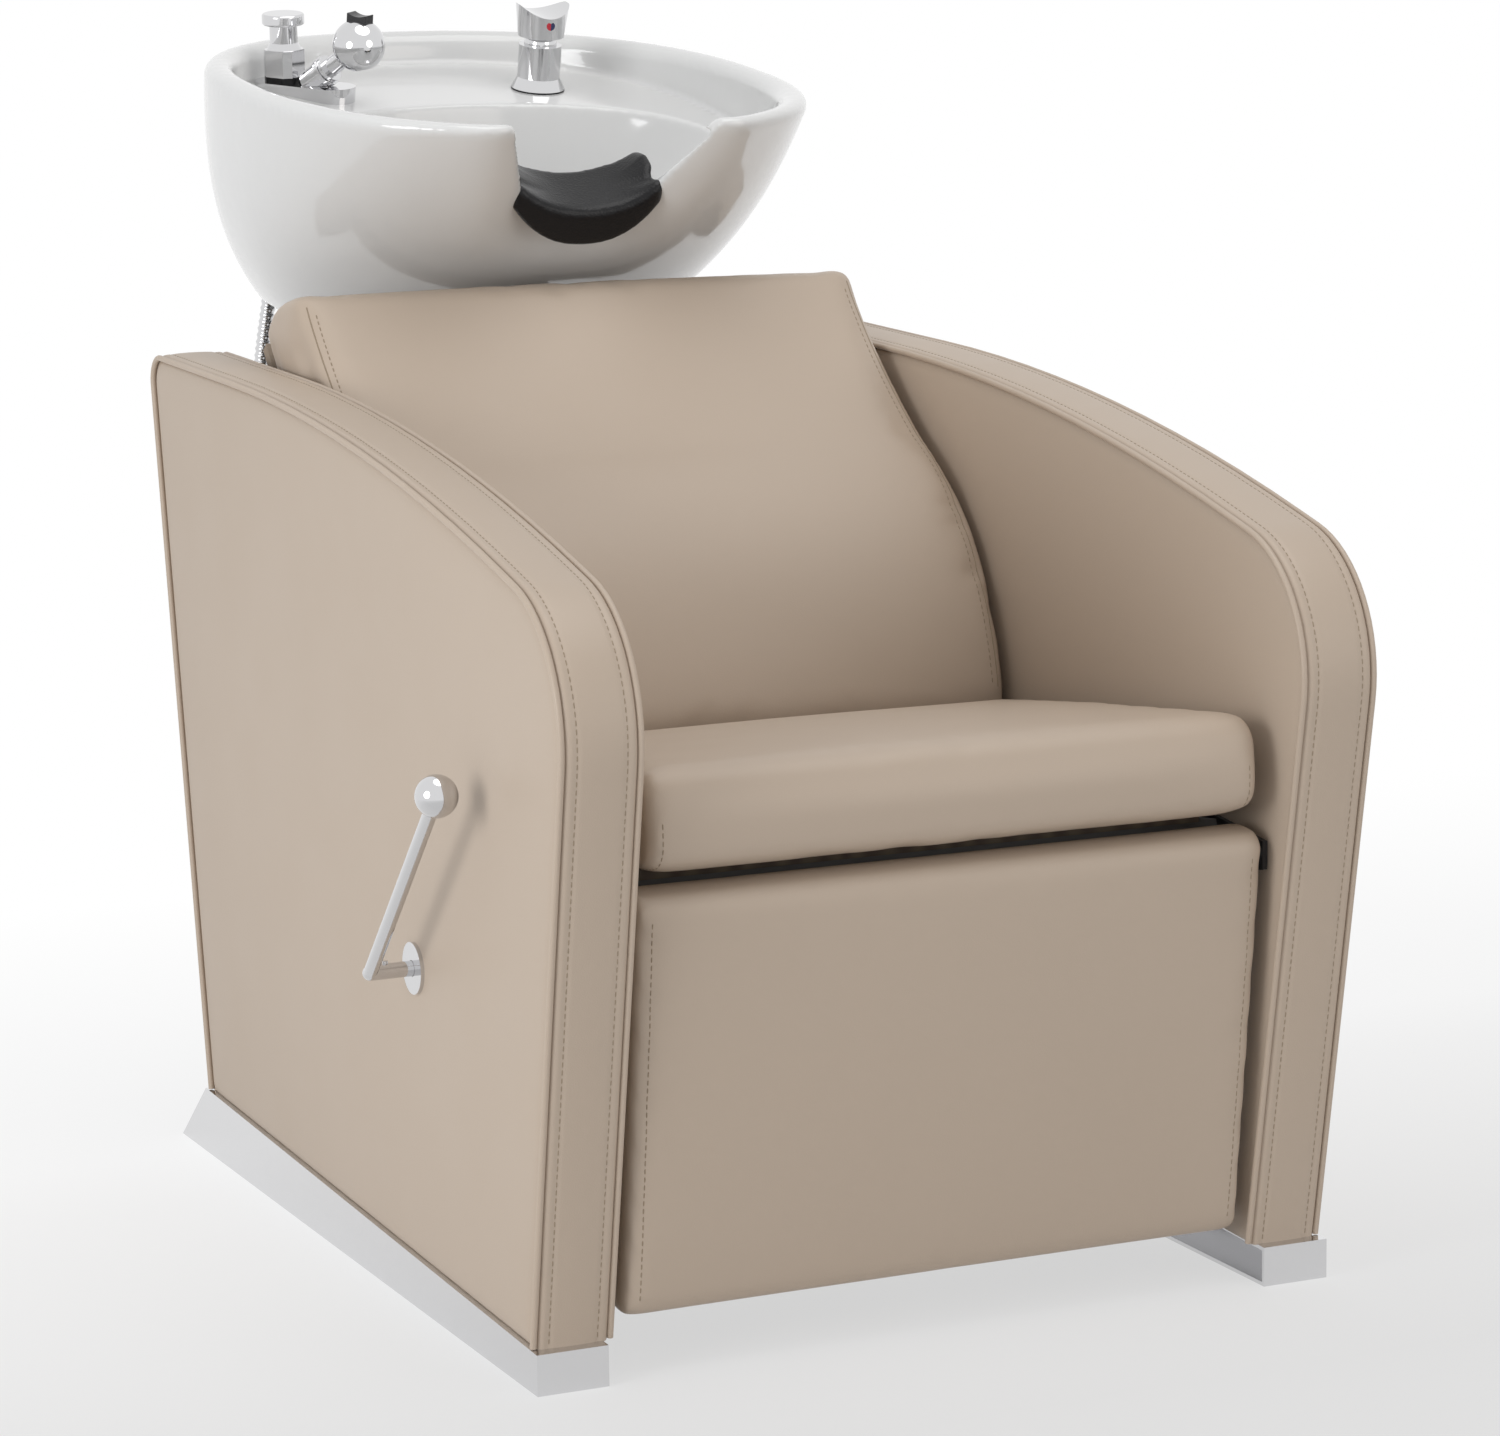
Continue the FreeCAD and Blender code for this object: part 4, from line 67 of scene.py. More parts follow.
# Upholstery
PIPING = 0.005
EDGE_SPACING = 0.006
PANEL_EDGE = 0.012
PANEL_EDGE_DROP = 0.0035
PANEL_FALL = 0.0025
PANEL_FALL_REACH = 0.035
PANEL_RINGS = (0.0005, 0.0015, 0.003, 0.005, 0.008, PANEL_EDGE)
PANEL_RING_KEEP = 0.97
PANEL_GRID = 0.012
PANEL_GRID_CLEAR = 0.004
BAND_EDGE_ROLL = 0.004
BAND_EDGE_DROP = 0.0026
BAND_STITCH_INSET = 0.0085
BAND_STITCH_DIP = 0.0006
BAND_DIP_WIDTH = 0.0018
BAND_CROWN = 0.0012
BAND_COLUMNS = 41
BAND_SINK = 0.002
CUSHION_PUFF = 0.003
LEG_PUFF = 0.002
CLOTH_STIFFNESS = 40
CLOTH_BENDING = 8
CLOTH_VOXEL = 0.005
CLOTH_PRESSURE = 4.0
CLOTH_FRAMES = 20
CUSHION_SMOOTHING = 2
BACK_WIDEN = 1.03

# Stitches
STITCH_PITCH = 0.0062
STITCH_LENGTH = 0.0042
STITCH_WIDTH = 0.0010
STITCH_HEIGHT = 0.0004
STITCH_PROFILE = ((-0.5, 0.35), (-0.3, 1.0), (0.3, 1.0), (0.5, 0.35))
STITCH_SIDES = 6
SEAM_WIDTH = 0.0012
SEAM_SIDES = 6
BACK_STITCH_INSET = 0.0145
BACK_SEAM_INSET = 0.009
BACK_STITCH_ENDS = (0.055, 0.010)
LEG_STITCH_INSET = 0.0125
LEG_STITCH_ENDS = (0.012, 0.018)
SEAT_STITCH_INSET = 0.011
SEAT_STITCH_DEPTHS = (0.090, 0.028)
BACK_ROW_POINTS = 90
LEG_ROW_POINTS = 80
SEAT_ROW_POINTS = 30

# Ceramic bowl and rubber neck rest
BOWL_VOXEL = 0.0024
BOWL_SMOOTHING = 10
NECK_VOXEL = 0.0018
NECK_SMOOTHING = 5
NECK_LAST_SMOOTHING = 6
NECK_SWELLS = (0.006, 0.006, -0.0075)
NECK_END_RISE = 0.009
NECK_END_POWER = 3
NECK_FRONT_GAIN = 3
NECK_FRONT_START = 0.2

# Spray hose: its route as in the part's source, with the upper points up to 25 mm further left
HOSE_DIAMETER = 0.014
HOSE_RIBS = 180
HOSE_RIB_DEPTH = 0.0010
HOSE_RING_SPACING = 0.001
HOSE_SIDES = 14
HOSE_SPLINE_STEPS = 32
HOSE_LEAD = 0.045
FEET_FRONT = -0.4185
HOSE_POINTS = (
    (-0.156, 1.029, 0.745),
    (-0.174, 1.036, 0.632),
    (-0.176, 1.036, 0.522),
    (-0.168, 1.035, 0.418),
    (-0.116, 1.033, 0.366),
    (-0.046, 1.030, 0.366),
    (0.006, 1.026, 0.424),
    (-0.006, 1.020, 0.520),
    (-0.052, 1.014, 0.632),
    (-0.106, 1.008, 0.745),
)

# Studio
FLOOR_REACH = 14.0
FLOOR_FADE = (1.3, 2.8)
# The floor's painted shade: its glow to the camera turns greyer towards the front over these runs of Y
FLOOR_SHADE_RUN = (-0.60, 0.35)
FLOOR_FRONT_SHADE = 0.76
FLOOR_GLOW_RUN = (0.2, 1.4)
FLOOR_FRONT_GLOW = 0.75
ROOM_TINT = (0.97, 0.98, 1.0, 1)
ROOM_LIGHT = 0.5
WHITE = (1, 1, 1, 1)

# Tolerances
SAME_PLACE = 1e-5
SAME_DEPTH = 1e-4
MESH_TOLERANCE = 1e-6


def feed(tree, socket, value):
    """Links a value to a socket, or sets the socket to a plain number or colour."""
    if isinstance(value, Value):
        tree.links.new(value.socket, socket)
    else:
        socket.default_value = value


class Value:
    """An output in a node tree; numbers can be added, subtracted, multiplied and compared."""

    def __init__(self, tree, socket):
        self.tree = tree
        self.socket = socket

    def _math(self, operation, first, second):
        node = self.tree.nodes.new("ShaderNodeMath")
        node.operation = operation
        for socket, value in zip(node.inputs, (first, second)):
            feed(self.tree, socket, value)
        return Value(self.tree, node.outputs[0])

    def __add__(self, other):
        return self._math("ADD", self, other)

    __radd__ = __add__

    def __sub__(self, other):
        return self._math("SUBTRACT", self, other)

    def __rsub__(self, other):
        return self._math("SUBTRACT", other, self)

    def __mul__(self, other):
        return self._math("MULTIPLY", self, other)

    __rmul__ = __mul__

    def __gt__(self, other):
        return self._math("GREATER_THAN", self, other)


class Nodes:
    """A node tree, of a material or of the world, whose sockets take plain values or expressions."""

    def __init__(self, tree):
        self.tree = tree

    def feed(self, node, name, value):
        """Gives a value to a node's input; in the input's name an underscore stands for a space."""
        wanted = name.replace("_", " ").lower()
        socket = next(s for s in node.inputs if s.enabled and s.name.lower() == wanted)
        feed(self.tree, socket, value)

    def node(self, kind, settings=None, output=0, **sockets):
        node = self.tree.nodes.new("ShaderNode" + kind)
        for name, value in (settings or {}).items():
            setattr(node, name, value)
        for name, value in sockets.items():
            self.feed(node, name, value)
        return Value(self.tree, node.outputs[output])

    def mixed(self, share, first, second):
        """The first shader where the share is 0, and the second where it is 1."""
        mix = self.tree.nodes.new("ShaderNodeMixShader")
        for socket, value in zip(mix.inputs, (share, first, second)):
            feed(self.tree, socket, value)
        return Value(self.tree, mix.outputs[0])

    def seen_rays(self):
        """1 for the rays that show the white room to the camera, straight or in metal and glaze."""
        kinds = ("Camera", "Glossy", "Transmission")
        camera, glossy, through = (self.node("LightPath", output="Is %s Ray" % kind) for kind in kinds)
        return camera + glossy + through


class Finish(Nodes):
    """A material with one main shader."""

    MIXED_COLOUR = 2  # a Mix node gives its colour at the third output

    def __init__(self, name, **constants):
        self.material = bpy.data.materials.new(name)
        self.material.use_nodes = True
        super().__init__(self.material.node_tree)
        self.shader = self.tree.nodes["Principled BSDF"]
        self.set(**constants)

    def set(self, **sockets):
        for name, value in sockets.items():
            self.feed(self.shader, name, value)

    def place(self):
        return self.node("TexCoord", output="Object")

    def noise(self, scale, detail=2.0, roughness=0.5):
        return self.node("TexNoise", Vector=self.place(), Scale=scale, Detail=detail, Roughness=roughness)

    def between(self, low, high, amount):
        return self.node("Mix", {"data_type": "RGBA"}, self.MIXED_COLOUR,
                         Factor=amount, A=(*low, 1), B=(*high, 1))

    def ramp(self, value, run, ends):
        """Goes from one end to the other while the value passes over a run, and stays there beyond it."""
        return self.node("MapRange", Value=value, From_Min=run[0], From_Max=run[1],
                         To_Min=ends[0], To_Max=ends[1])

    def bump(self, height, distance, strength):
        self.set(normal=self.node("Bump", Height=height, Distance=distance, Strength=strength))


def vinyl(name, colour, shade):
    """Soft, fine-grained upholstery vinyl."""
    finish = Finish(name, specular_ior_level=0.4)
    cloud = finish.noise(scale=2.5, detail=3.0)
    finish.set(base_color=finish.between(colour, shade, cloud))
    finish.set(roughness=0.40 + 0.10 * finish.noise(scale=14.0))
    grain = finish.node("TexVoronoi", Vector=finish.place(), Scale=900.0)
    crease = finish.noise(scale=30.0, detail=4.0)
    finish.bump(0.5 * grain + 0.6 * crease, distance=0.00018, strength=0.5)
    return finish.material


def ceramic():
    """White glaze with a faint unevenness."""
    finish = Finish("white_glaze", coat_weight=0.4, coat_roughness=0.03, specular_ior_level=0.45)
    cloud = finish.noise(scale=4.0)
    finish.set(base_color=finish.between((0.74, 0.74, 0.735), (0.71, 0.71, 0.70), cloud))
    finish.set(roughness=0.10 + 0.05 * finish.noise(scale=8.0))
    finish.bump(finish.noise(scale=9.0, detail=1.0), distance=0.0006, strength=0.25)
    return finish.material


def chrome(name, tint, roughness):
    finish = Finish(name, metallic=1.0, base_color=(*tint, 1))
    finish.set(roughness=roughness + 0.03 * finish.noise(scale=25.0))
    return finish.material


def black_rubber():
    """Wrinkled rubber with a dull shine."""
    finish = Finish("black_rubber", base_color=(0.007, 0.007, 0.008, 1), coat_weight=0.07,
                    coat_roughness=0.2, specular_ior_level=0.22)
    finish.set(roughness=0.26 + 0.12 * finish.noise(scale=40.0))
    wrinkle = finish.node("TexVoronoi", Vector=finish.place(), Scale=520.0)
    finish.bump(wrinkle + 0.8 * finish.noise(scale=60.0, detail=4.0), distance=0.0004, strength=0.55)
    return finish.material


def painted(name, colour, roughness):
    finish = Finish(name, base_color=(*colour, 1))
    finish.set(roughness=roughness + 0.12 * finish.noise(scale=30.0))
    finish.bump(finish.noise(scale=700.0, detail=1.0), distance=0.00012, strength=0.35)
    return finish.material


def wood():
    finish = Finish("plywood")
    rings = finish.node("TexWave", Vector=finish.place(), Scale=14.0, Distortion=6.0, Detail=3.0)
    finish.set(base_color=finish.between((0.20, 0.15, 0.10), (0.14, 0.10, 0.07), rings))
    finish.set(roughness=0.55 + 0.15 * finish.noise(scale=60.0))
    return finish.material


def marker():
    """Red and blue halves of the tap's temperature mark."""
    finish = Finish("temperature_mark", roughness=0.25, coat_weight=0.4)
    low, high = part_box("mixer_indicator")
    across = finish.node("SeparateXYZ", output="X", Vector=finish.place())
    side = across > (low.x + high.x) / 2
    finish.set(base_color=finish.between((0.50, 0.012, 0.03), (0.012, 0.02, 0.09), side))
    return finish.material


VINYL = vinyl("taupe_vinyl", (0.505, 0.412, 0.328), (0.475, 0.386, 0.304))
THREAD = painted("taupe_thread", (0.30, 0.235, 0.165), 0.6)
GLAZE = ceramic()
CHROME = chrome("polished_chrome", (0.66, 0.66, 0.67), 0.04)
FOOT_CHROME = chrome("foot_chrome", (0.72, 0.72, 0.73), 0.10)
BRIGHT_STEEL = chrome("zinc_steel", (0.62, 0.62, 0.63), 0.28)
RUBBER = black_rubber()
BLACK_PAINT = painted("black_paint", (0.012, 0.012, 0.013), 0.38)
GREY_PAINT = painted("grey_paint", (0.15, 0.145, 0.14), 0.40)
BLACK_PLASTIC = painted("black_plastic", (0.012, 0.012, 0.014), 0.22)
GREY_PLASTIC = painted("grey_plastic", (0.10, 0.10, 0.105), 0.45)
BACK_CLOTH = painted("back_cloth", (0.36, 0.29, 0.225), 0.7)
PLYWOOD = wood()
MARK = marker()

FINISH_OF_SLOT = {
    "vinyl": VINYL,
    "cover": BACK_CLOTH,
    "wood": PLYWOOD,
    "chrome": CHROME,
    "steel": BRIGHT_STEEL,
    "black_metal": BLACK_PAINT,
    "grey_metal": GREY_PAINT,
    "ceramic": GLAZE,
    "rubber": RUBBER,
    "black_plastic": BLACK_PLASTIC,
    "grey_plastic": GREY_PLASTIC,
    "marker": MARK,
}


def paint_cad_nodes():
    for part in frame["record"]["subparts"]:
        mesh = nodes[part["node"]].data
        mesh.materials.clear()
        foot = part["node"] in ("left_foot", "right_foot")
        mesh.materials.append(FOOT_CHROME if foot else FINISH_OF_SLOT[part["material_slot"]])


def piece(name, points, faces, material, body):
    """A new mesh that rides on a body."""
    mesh = bpy.data.meshes.new(name)
    mesh.from_pydata([tuple(p) for p in points], [], faces)
    mesh.materials.append(material)
    mesh.shade_smooth()
    made = bpy.data.objects.new(name, mesh)
    bpy.context.scene.collection.objects.link(made)
    work = bmesh.new()
    work.from_mesh(mesh)
    bmesh.ops.recalc_face_normals(work, faces=work.faces)
    work.to_mesh(mesh)
    work.free()
    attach(made, body)
    return made


def face_border(node, x):
    """Border edges of a node's flat face at one x, as pairs of indices, and the places they join."""
    mesh = nodes[node].data
    keys = {}
    spots = []
    index = []
    for vertex in mesh.vertices:
        key = tuple(round(c, 5) for c in vertex.co)
        if key not in keys:
            keys[key] = len(spots)
            spots.append(vertex.co)
        index.append(keys[key])
    counts = Counter()
    for face in mesh.polygons:
        ring = [index[i] for i in face.vertices]
        if all(abs(spots[i].x - x) < SAME_PLACE for i in ring):
            counts.update((min(pair), max(pair)) for pair in zip(ring, ring[1:] + ring[:1]))
    return [edge for edge, count in counts.items() if count == 1], spots


def side_loop(node, x):
    """Outline, in Y and Z, of a node's flat face at one x, in order."""
    edges, spots = face_border(node, x)
    follow = {}
    for a, b in edges:
        follow.setdefault(a, []).append(b)
        follow.setdefault(b, []).append(a)
    loops = []
    left = set(follow)
    while left:
        start = min(left)
        loop = [start]
        left.discard(start)
        step = follow[start][0]
        while step != start:
            loop.append(step)
            left.discard(step)
            step = next((n for n in follow[step] if n != loop[-2] and (n in left or n == start)), start)
        loops.append(np.array([(spots[i].y, spots[i].z) for i in loop]))
    return max(loops, key=lambda loop: lengths_along(loop)[-1])


def arm_path(loop):
    """The outline of an arm without its bottom edge, from the front foot to the rear foot."""
    steps = np.linalg.norm(np.roll(loop, -1, axis=0) - loop, axis=1)
    path = np.roll(loop, -(int(steps.argmax()) + 1), axis=0)
    return path if path[0, 0] < path[-1, 0] else path[::-1]


def lengths_along(path):
    """Length of a path up to each of its points."""
    return np.concatenate([[0], np.cumsum(np.linalg.norm(np.diff(path, axis=0), axis=1))])


def at_lengths(path, lengths, wanted):
    """Places on a path at the wanted lengths, or what else is given for each of its points."""
    return np.stack([np.interp(wanted, lengths, column) for column in path.T], 1)


def evenly(path, spacing):
    """The same path with points at an even spacing."""
    lengths = lengths_along(path)
    count = max(int(lengths[-1] / spacing), 2)
    return at_lengths(path, lengths, np.linspace(0, lengths[-1], count + 1))


def headings(path):
    """Unit vectors along a path."""
    step = np.gradient(path, axis=0)
    return step / np.linalg.norm(step, axis=1)[:, None]


def outward(path):
    """Unit normals of a Y, Z path that runs from the front over the top to the rear."""
    along = headings(path)
    return np.stack([-along[:, 1], along[:, 0]], 1)


def tube(line, across, rise, sides):
    """Points of a tube round a line; across and rise reach from the line to its skin."""
    turns = [2 * math.pi * k / sides for k in range(sides)]
    rings = [line + across * math.cos(turn) + rise * math.sin(turn) for turn in turns]
    return np.stack(rings, 1).reshape(-1, 3)


def grid_faces(rows, columns, closed=False):
    """Faces between rows of points; closed joins the last column to the first."""
    faces = []
    for i in range(rows - 1):
        for j in range(columns if closed else columns - 1):
            k = (j + 1) % columns
            faces.append((i * columns + j, i * columns + k, (i + 1) * columns + k, (i + 1) * columns + j))
    return faces


def edge_distance(spots, ring):
    """Distance of each spot from a closed outline."""
    ends = np.roll(ring, -1, axis=0)
    run = ends - ring
    best = np.full(len(spots), np.inf)
    for start, step in zip(ring, run):
        share = np.clip((spots - start) @ step / (step @ step), 0, 1)
        gap = np.linalg.norm(spots - start - share[:, None] * step, axis=1)
        best = np.minimum(best, gap)
    return best


def points_inside(spots, ring):
    """Which spots lie inside a closed outline."""
    inside = np.zeros(len(spots), bool)
    for a, b in zip(ring, np.roll(ring, -1, axis=0)):
        crosses = (a[1] > spots[:, 1]) != (b[1] > spots[:, 1])
        rise = b[1] - a[1] if b[1] != a[1] else 1.0
        inside ^= crosses & (spots[:, 0] < a[0] + (b[0] - a[0]) * (spots[:, 1] - a[1]) / rise)
    return inside


def panel_spots(ring):
    """Places for a panel's mesh: close rows along its edge, and a grid inside them."""
    along = np.roll(ring, -1, axis=0) - np.roll(ring, 1, axis=0)
    along /= np.linalg.norm(along, axis=1)[:, None]
    inward = np.stack([along[:, 1], -along[:, 0]], 1)
    if ((ring.mean(0) - ring) * inward).sum() < 0:
        inward = -inward
    spots = [ring]
    for inset in PANEL_RINGS:
        row = ring + inward * inset
        spots.append(row[edge_distance(row, ring) > PANEL_RING_KEEP * inset])
    low, high = ring.min(0), ring.max(0)
    grid = np.meshgrid(*(np.arange(start, end, PANEL_GRID) for start, end in zip(low, high)))
    field = np.stack([axis.ravel() for axis in grid], 1)
    inside = points_inside(field, ring) & (edge_distance(field, ring) > PANEL_EDGE + PANEL_GRID_CLEAR)
    return np.concatenate(spots + [field[inside]])


def arm_panel(node, name, face_x, side):
    """Padded cover of one face of an arm; side is the way it faces along X."""
    path = arm_path(side_loop(node, face_x))
    ring = np.concatenate([evenly(path, EDGE_SPACING), evenly(path[[-1, 0]], EDGE_SPACING)[1:-1]])
    edges = [(i, (i + 1) % len(ring)) for i in range(len(ring))]
    spots = [Vector(spot) for spot in panel_spots(ring)]
    flat, _, faces, _, _, _ = delaunay_2d_cdt(spots, edges, [], 1, MESH_TOLERANCE)
    flat = np.array(flat)
    gap = edge_distance(flat, ring)
    roll = np.clip(1 - gap / PANEL_EDGE, 0, 1)
    drop = PANEL_EDGE_DROP * (1 - np.sqrt(1 - roll ** 2)) + PANEL_FALL * np.exp(-gap / PANEL_FALL_REACH)
    base = [corner.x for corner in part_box(node) if abs(corner.x - face_x) > SAME_DEPTH][0]
    points = np.concatenate([
        np.column_stack([face_x - side * drop, flat]),
        np.column_stack([np.full(len(ring), base), ring]),
    ])
    faces = [tuple(face) for face in faces]
    faces += [(a, b, len(flat) + b, len(flat) + a) for a, b in edges]
    cover = piece(name, points, faces, VINYL, "chair")
    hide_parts(node)


def band_height(across, width):
    """Rise of an arm's band at a distance from one edge: rolled edges, a stitched dip and a crown."""
    edge = min(across, width - across)
    roll = BAND_EDGE_DROP * max(1 - edge / BAND_EDGE_ROLL, 0) ** 2
    dip = BAND_STITCH_DIP * math.exp(-(((edge - BAND_STITCH_INSET) / BAND_DIP_WIDTH) ** 2))
    crown = BAND_CROWN * math.sin(math.pi * across / width)
    return crown - roll - dip


def arm_band(side, name):
    """Strip over the front, top and rear of one arm, with two rows of stitches."""
    panel = "right_outer_panel" if side > 0 else "left_outer_panel"
    face_x = max(abs(c.x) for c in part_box(panel)) * side
    inner_x = min(abs(c.x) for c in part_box(panel.replace("outer", "inner"))) * side
    path = evenly(arm_path(side_loop(panel, face_x)), EDGE_SPACING)
    out = outward(path)
    if out[len(out) // 2, 1] < 0:
        out = -out
    start = inner_x + side * PIPING
    width = abs(face_x - inner_x) - 2 * PIPING
    columns = np.linspace(0, width, BAND_COLUMNS)
    rows = []
    for across in columns:
        spot = path + out * (PIPING + band_height(across, width))
        rows.append(np.column_stack([np.full(len(path), start + side * across), spot]))
    for across in (width, 0.0):
        rows.append(np.column_stack([np.full(len(path), start + side * across), path - out * BAND_SINK]))
    rows.append(rows[0])
    points = np.concatenate(rows)
    band = piece(name, points, grid_faces(len(rows), len(path)), VINYL, "chair")
    for across in (BAND_STITCH_INSET, width - BAND_STITCH_INSET):
        spot = path + out * (PIPING + band_height(across, width))
        line = np.column_stack([np.full(len(path), start + side * across), spot])
        normal = np.column_stack([np.zeros(len(path)), out])
        stitch_row("%s_stitches_%d" % (name, round(across * 1000)), line, normal, "chair")
    return band


def stitch_row(name, line, normal, body):
    """A row of raised thread stitches along a line on a surface."""
    lengths = lengths_along(line)
    wanted = np.arange(STITCH_PITCH, lengths[-1] - STITCH_PITCH, STITCH_PITCH)
    spot = at_lengths(line, lengths, wanted)
    up = at_lengths(normal, lengths, wanted)
    up /= np.linalg.norm(up, axis=1)[:, None]
    along = headings(spot)
    across = np.cross(up, along)
    points = []
    faces = []
    for centre, ahead, side, rise in zip(spot, along, across, up):
        first = len(points)
        for reach, swell in STITCH_PROFILE:
            for k in range(STITCH_SIDES):
                turn = 2 * math.pi * k / STITCH_SIDES
                offset = side * (STITCH_WIDTH / 2 * swell * math.cos(turn))
                offset = offset + rise * (STITCH_HEIGHT * swell * math.sin(turn))
                points.append(centre + ahead * (STITCH_LENGTH * reach) + offset)
        for corners in grid_faces(len(STITCH_PROFILE), STITCH_SIDES, True):
            faces.append(tuple(first + corner for corner in corners))
        faces.append(tuple(first + k for k in range(STITCH_SIDES)))
        faces.append(tuple(len(points) - STITCH_SIDES + k for k in range(STITCH_SIDES)))
    piece(name, points, faces, THREAD, body)


def copy_node(node, name, material, body):
    """A copy of a CAD node as a piece that can be reworked."""
    mesh = nodes[node].data.copy()
    mesh.name = name
    mesh.materials.clear()
    mesh.materials.append(material)
    made = bpy.data.objects.new(name, mesh)
    bpy.context.scene.collection.objects.link(made)
    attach(made, body)
    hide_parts(node)
    return made


def only(made):
    """Makes one piece the selected and active object."""
    for other in bpy.context.selected_objects:
        other.select_set(False)
    bpy.context.view_layer.objects.active = made
    made.select_set(True)


def weld(made):
    """Joins the points that the CAD mesh repeats along its edges."""
    work = bmesh.new()
    work.from_mesh(made.data)
    bmesh.ops.remove_doubles(work, verts=work.verts, dist=SAME_PLACE)
    work.to_mesh(made.data)
    work.free()


def apply_modifier(made, kind, **settings):
    only(made)
    modifier = made.modifiers.new(kind.lower(), kind)
    for name, value in settings.items():
        setattr(modifier, name, value)
    bpy.ops.object.modifier_apply(modifier=modifier.name)


def smooth(made, rounds):
    apply_modifier(made, "SMOOTH", factor=0.5, iterations=rounds)


def softened(node, name, material, body, voxel, rounds, swells=()):
    """A CAD node whose sharp edges are rounded over, as on a casting, after it swells or shrinks in turn."""
    made = copy_node(node, name, material, body)
    weld(made)
    apply_modifier(made, "REMESH", mode="VOXEL", voxel_size=voxel)
    for swell in swells:
        apply_modifier(made, "DISPLACE", strength=swell, mid_level=0.0)
        apply_modifier(made, "REMESH", mode="VOXEL", voxel_size=voxel)
    smooth(made, rounds)
    made.data.shade_smooth()
    return made


def puffed(made, cap):
    """Blows a cushion up a little as cloth under pressure, and keeps each point near its start."""
    start = np.array([v.co for v in made.data.vertices])
    only(made)
    cloth = made.modifiers.new("cloth", "CLOTH")
    cloth.settings.use_pressure = True
    cloth.settings.uniform_pressure_force = CLOTH_PRESSURE
    cloth.settings.effector_weights.gravity = 0
    cloth.settings.tension_stiffness = CLOTH_STIFFNESS
    cloth.settings.compression_stiffness = CLOTH_STIFFNESS
    cloth.settings.bending_stiffness = CLOTH_BENDING
    cloth.point_cache.frame_end = CLOTH_FRAMES
    scene = bpy.context.scene
    for step in range(1, CLOTH_FRAMES + 1):
        scene.frame_set(step)
    shaped = made.evaluated_get(bpy.context.evaluated_depsgraph_get())
    end = np.array([v.co for v in shaped.data.vertices])
    made.modifiers.remove(cloth)
    scene.frame_set(1)
    move = end - start
    reach = np.linalg.norm(move, axis=1)
    share = cap * np.tanh(reach / cap) / np.maximum(reach, 1e-9)
    made.data.vertices.foreach_set("co", (start + move * share[:, None]).ravel())
    made.data.update()


def cushion(node, name, body, cap, widen=1.0):
    """Foam cushion: its cover is pulled out sideways, blown up a little, then smoothed."""
    made = copy_node(node, name, VINYL, body)
    made.data.transform(Matrix.Scale(widen, 4, (1, 0, 0)))
    weld(made)
    apply_modifier(made, "REMESH", mode="VOXEL", voxel_size=CLOTH_VOXEL)
    smooth(made, CUSHION_SMOOTHING)
    puffed(made, cap)
    smooth(made, CUSHION_SMOOTHING)
    apply_modifier(made, "SUBSURF", levels=1, render_levels=1)
    made.data.shade_smooth()
    return made


def surface_line(made, starts, direction):
    """Points and outward normals where rays from the starts meet a piece."""
    tree = BVHTree.FromObject(made, bpy.context.evaluated_depsgraph_get())
    line = []
    normal = []
    for start in starts:
        spot, up, _, _ = tree.ray_cast(Vector(start), Vector(direction))
        if spot is not None:
            line.append(spot)
            normal.append(up if up.dot(Vector(direction)) < 0 else -up)
    return np.array(line), np.array(normal)


def surface_row(name, made, starts, direction, body):
    """Stitches where rays from the starts meet a piece."""
    line, normal = surface_line(made, starts, direction)
    stitch_row(name, line, normal, body)


def surface_seam(name, made, starts, direction, body):
    """A folded seam: a thin cord of thread colour, sunk half into the cover."""
    line, normal = surface_line(made, starts, direction)
    along = headings(line)
    across = np.cross(normal, along)
    across /= np.linalg.norm(across, axis=1)[:, None]
    points = tube(line, across * (SEAM_WIDTH / 2), normal * STITCH_HEIGHT, SEAM_SIDES)
    piece(name, points, grid_faces(len(line), SEAM_SIDES, True), THREAD, body)


def hose_line(points):
    """Points along the smooth spline whose control points are a hose's route."""
    curve = bpy.data.curves.new("hose_route", "CURVE")
    curve.dimensions = "3D"
    curve.resolution_u = HOSE_SPLINE_STEPS
    spline = curve.splines.new("NURBS")
    spline.points.add(len(points) - 1)
    for spot, place in zip(spline.points, points):
        spot.co = (*place, 1)
    spline.order_u = 3
    spline.use_endpoint_u = True
    holder = bpy.data.objects.new("hose_route", curve)
    wire = bpy.data.meshes.new_from_object(holder)
    line = np.array([v.co for v in wire.vertices])
    bpy.data.meshes.remove(wire)
    bpy.data.objects.remove(holder)
    bpy.data.curves.remove(curve)
    return line


def pipe_end(node):
    """Lower end of a pipe under the deck and the way it points, from its lowest ring of points."""
    spots = np.array([v.co for v in nodes[node].data.vertices])
    down = deck_down()
    depth = spots @ down
    ring = spots[depth > depth.max() - SAME_DEPTH]
    return (ring.min(0) + ring.max(0)) / 2, down


def deck_down():
    """The way down, square to the tap deck."""
    swivel = next(joint for joint in frame["joints"] if joint["name"] == "mixer_swivel")
    return -np.array(swivel["axis"])


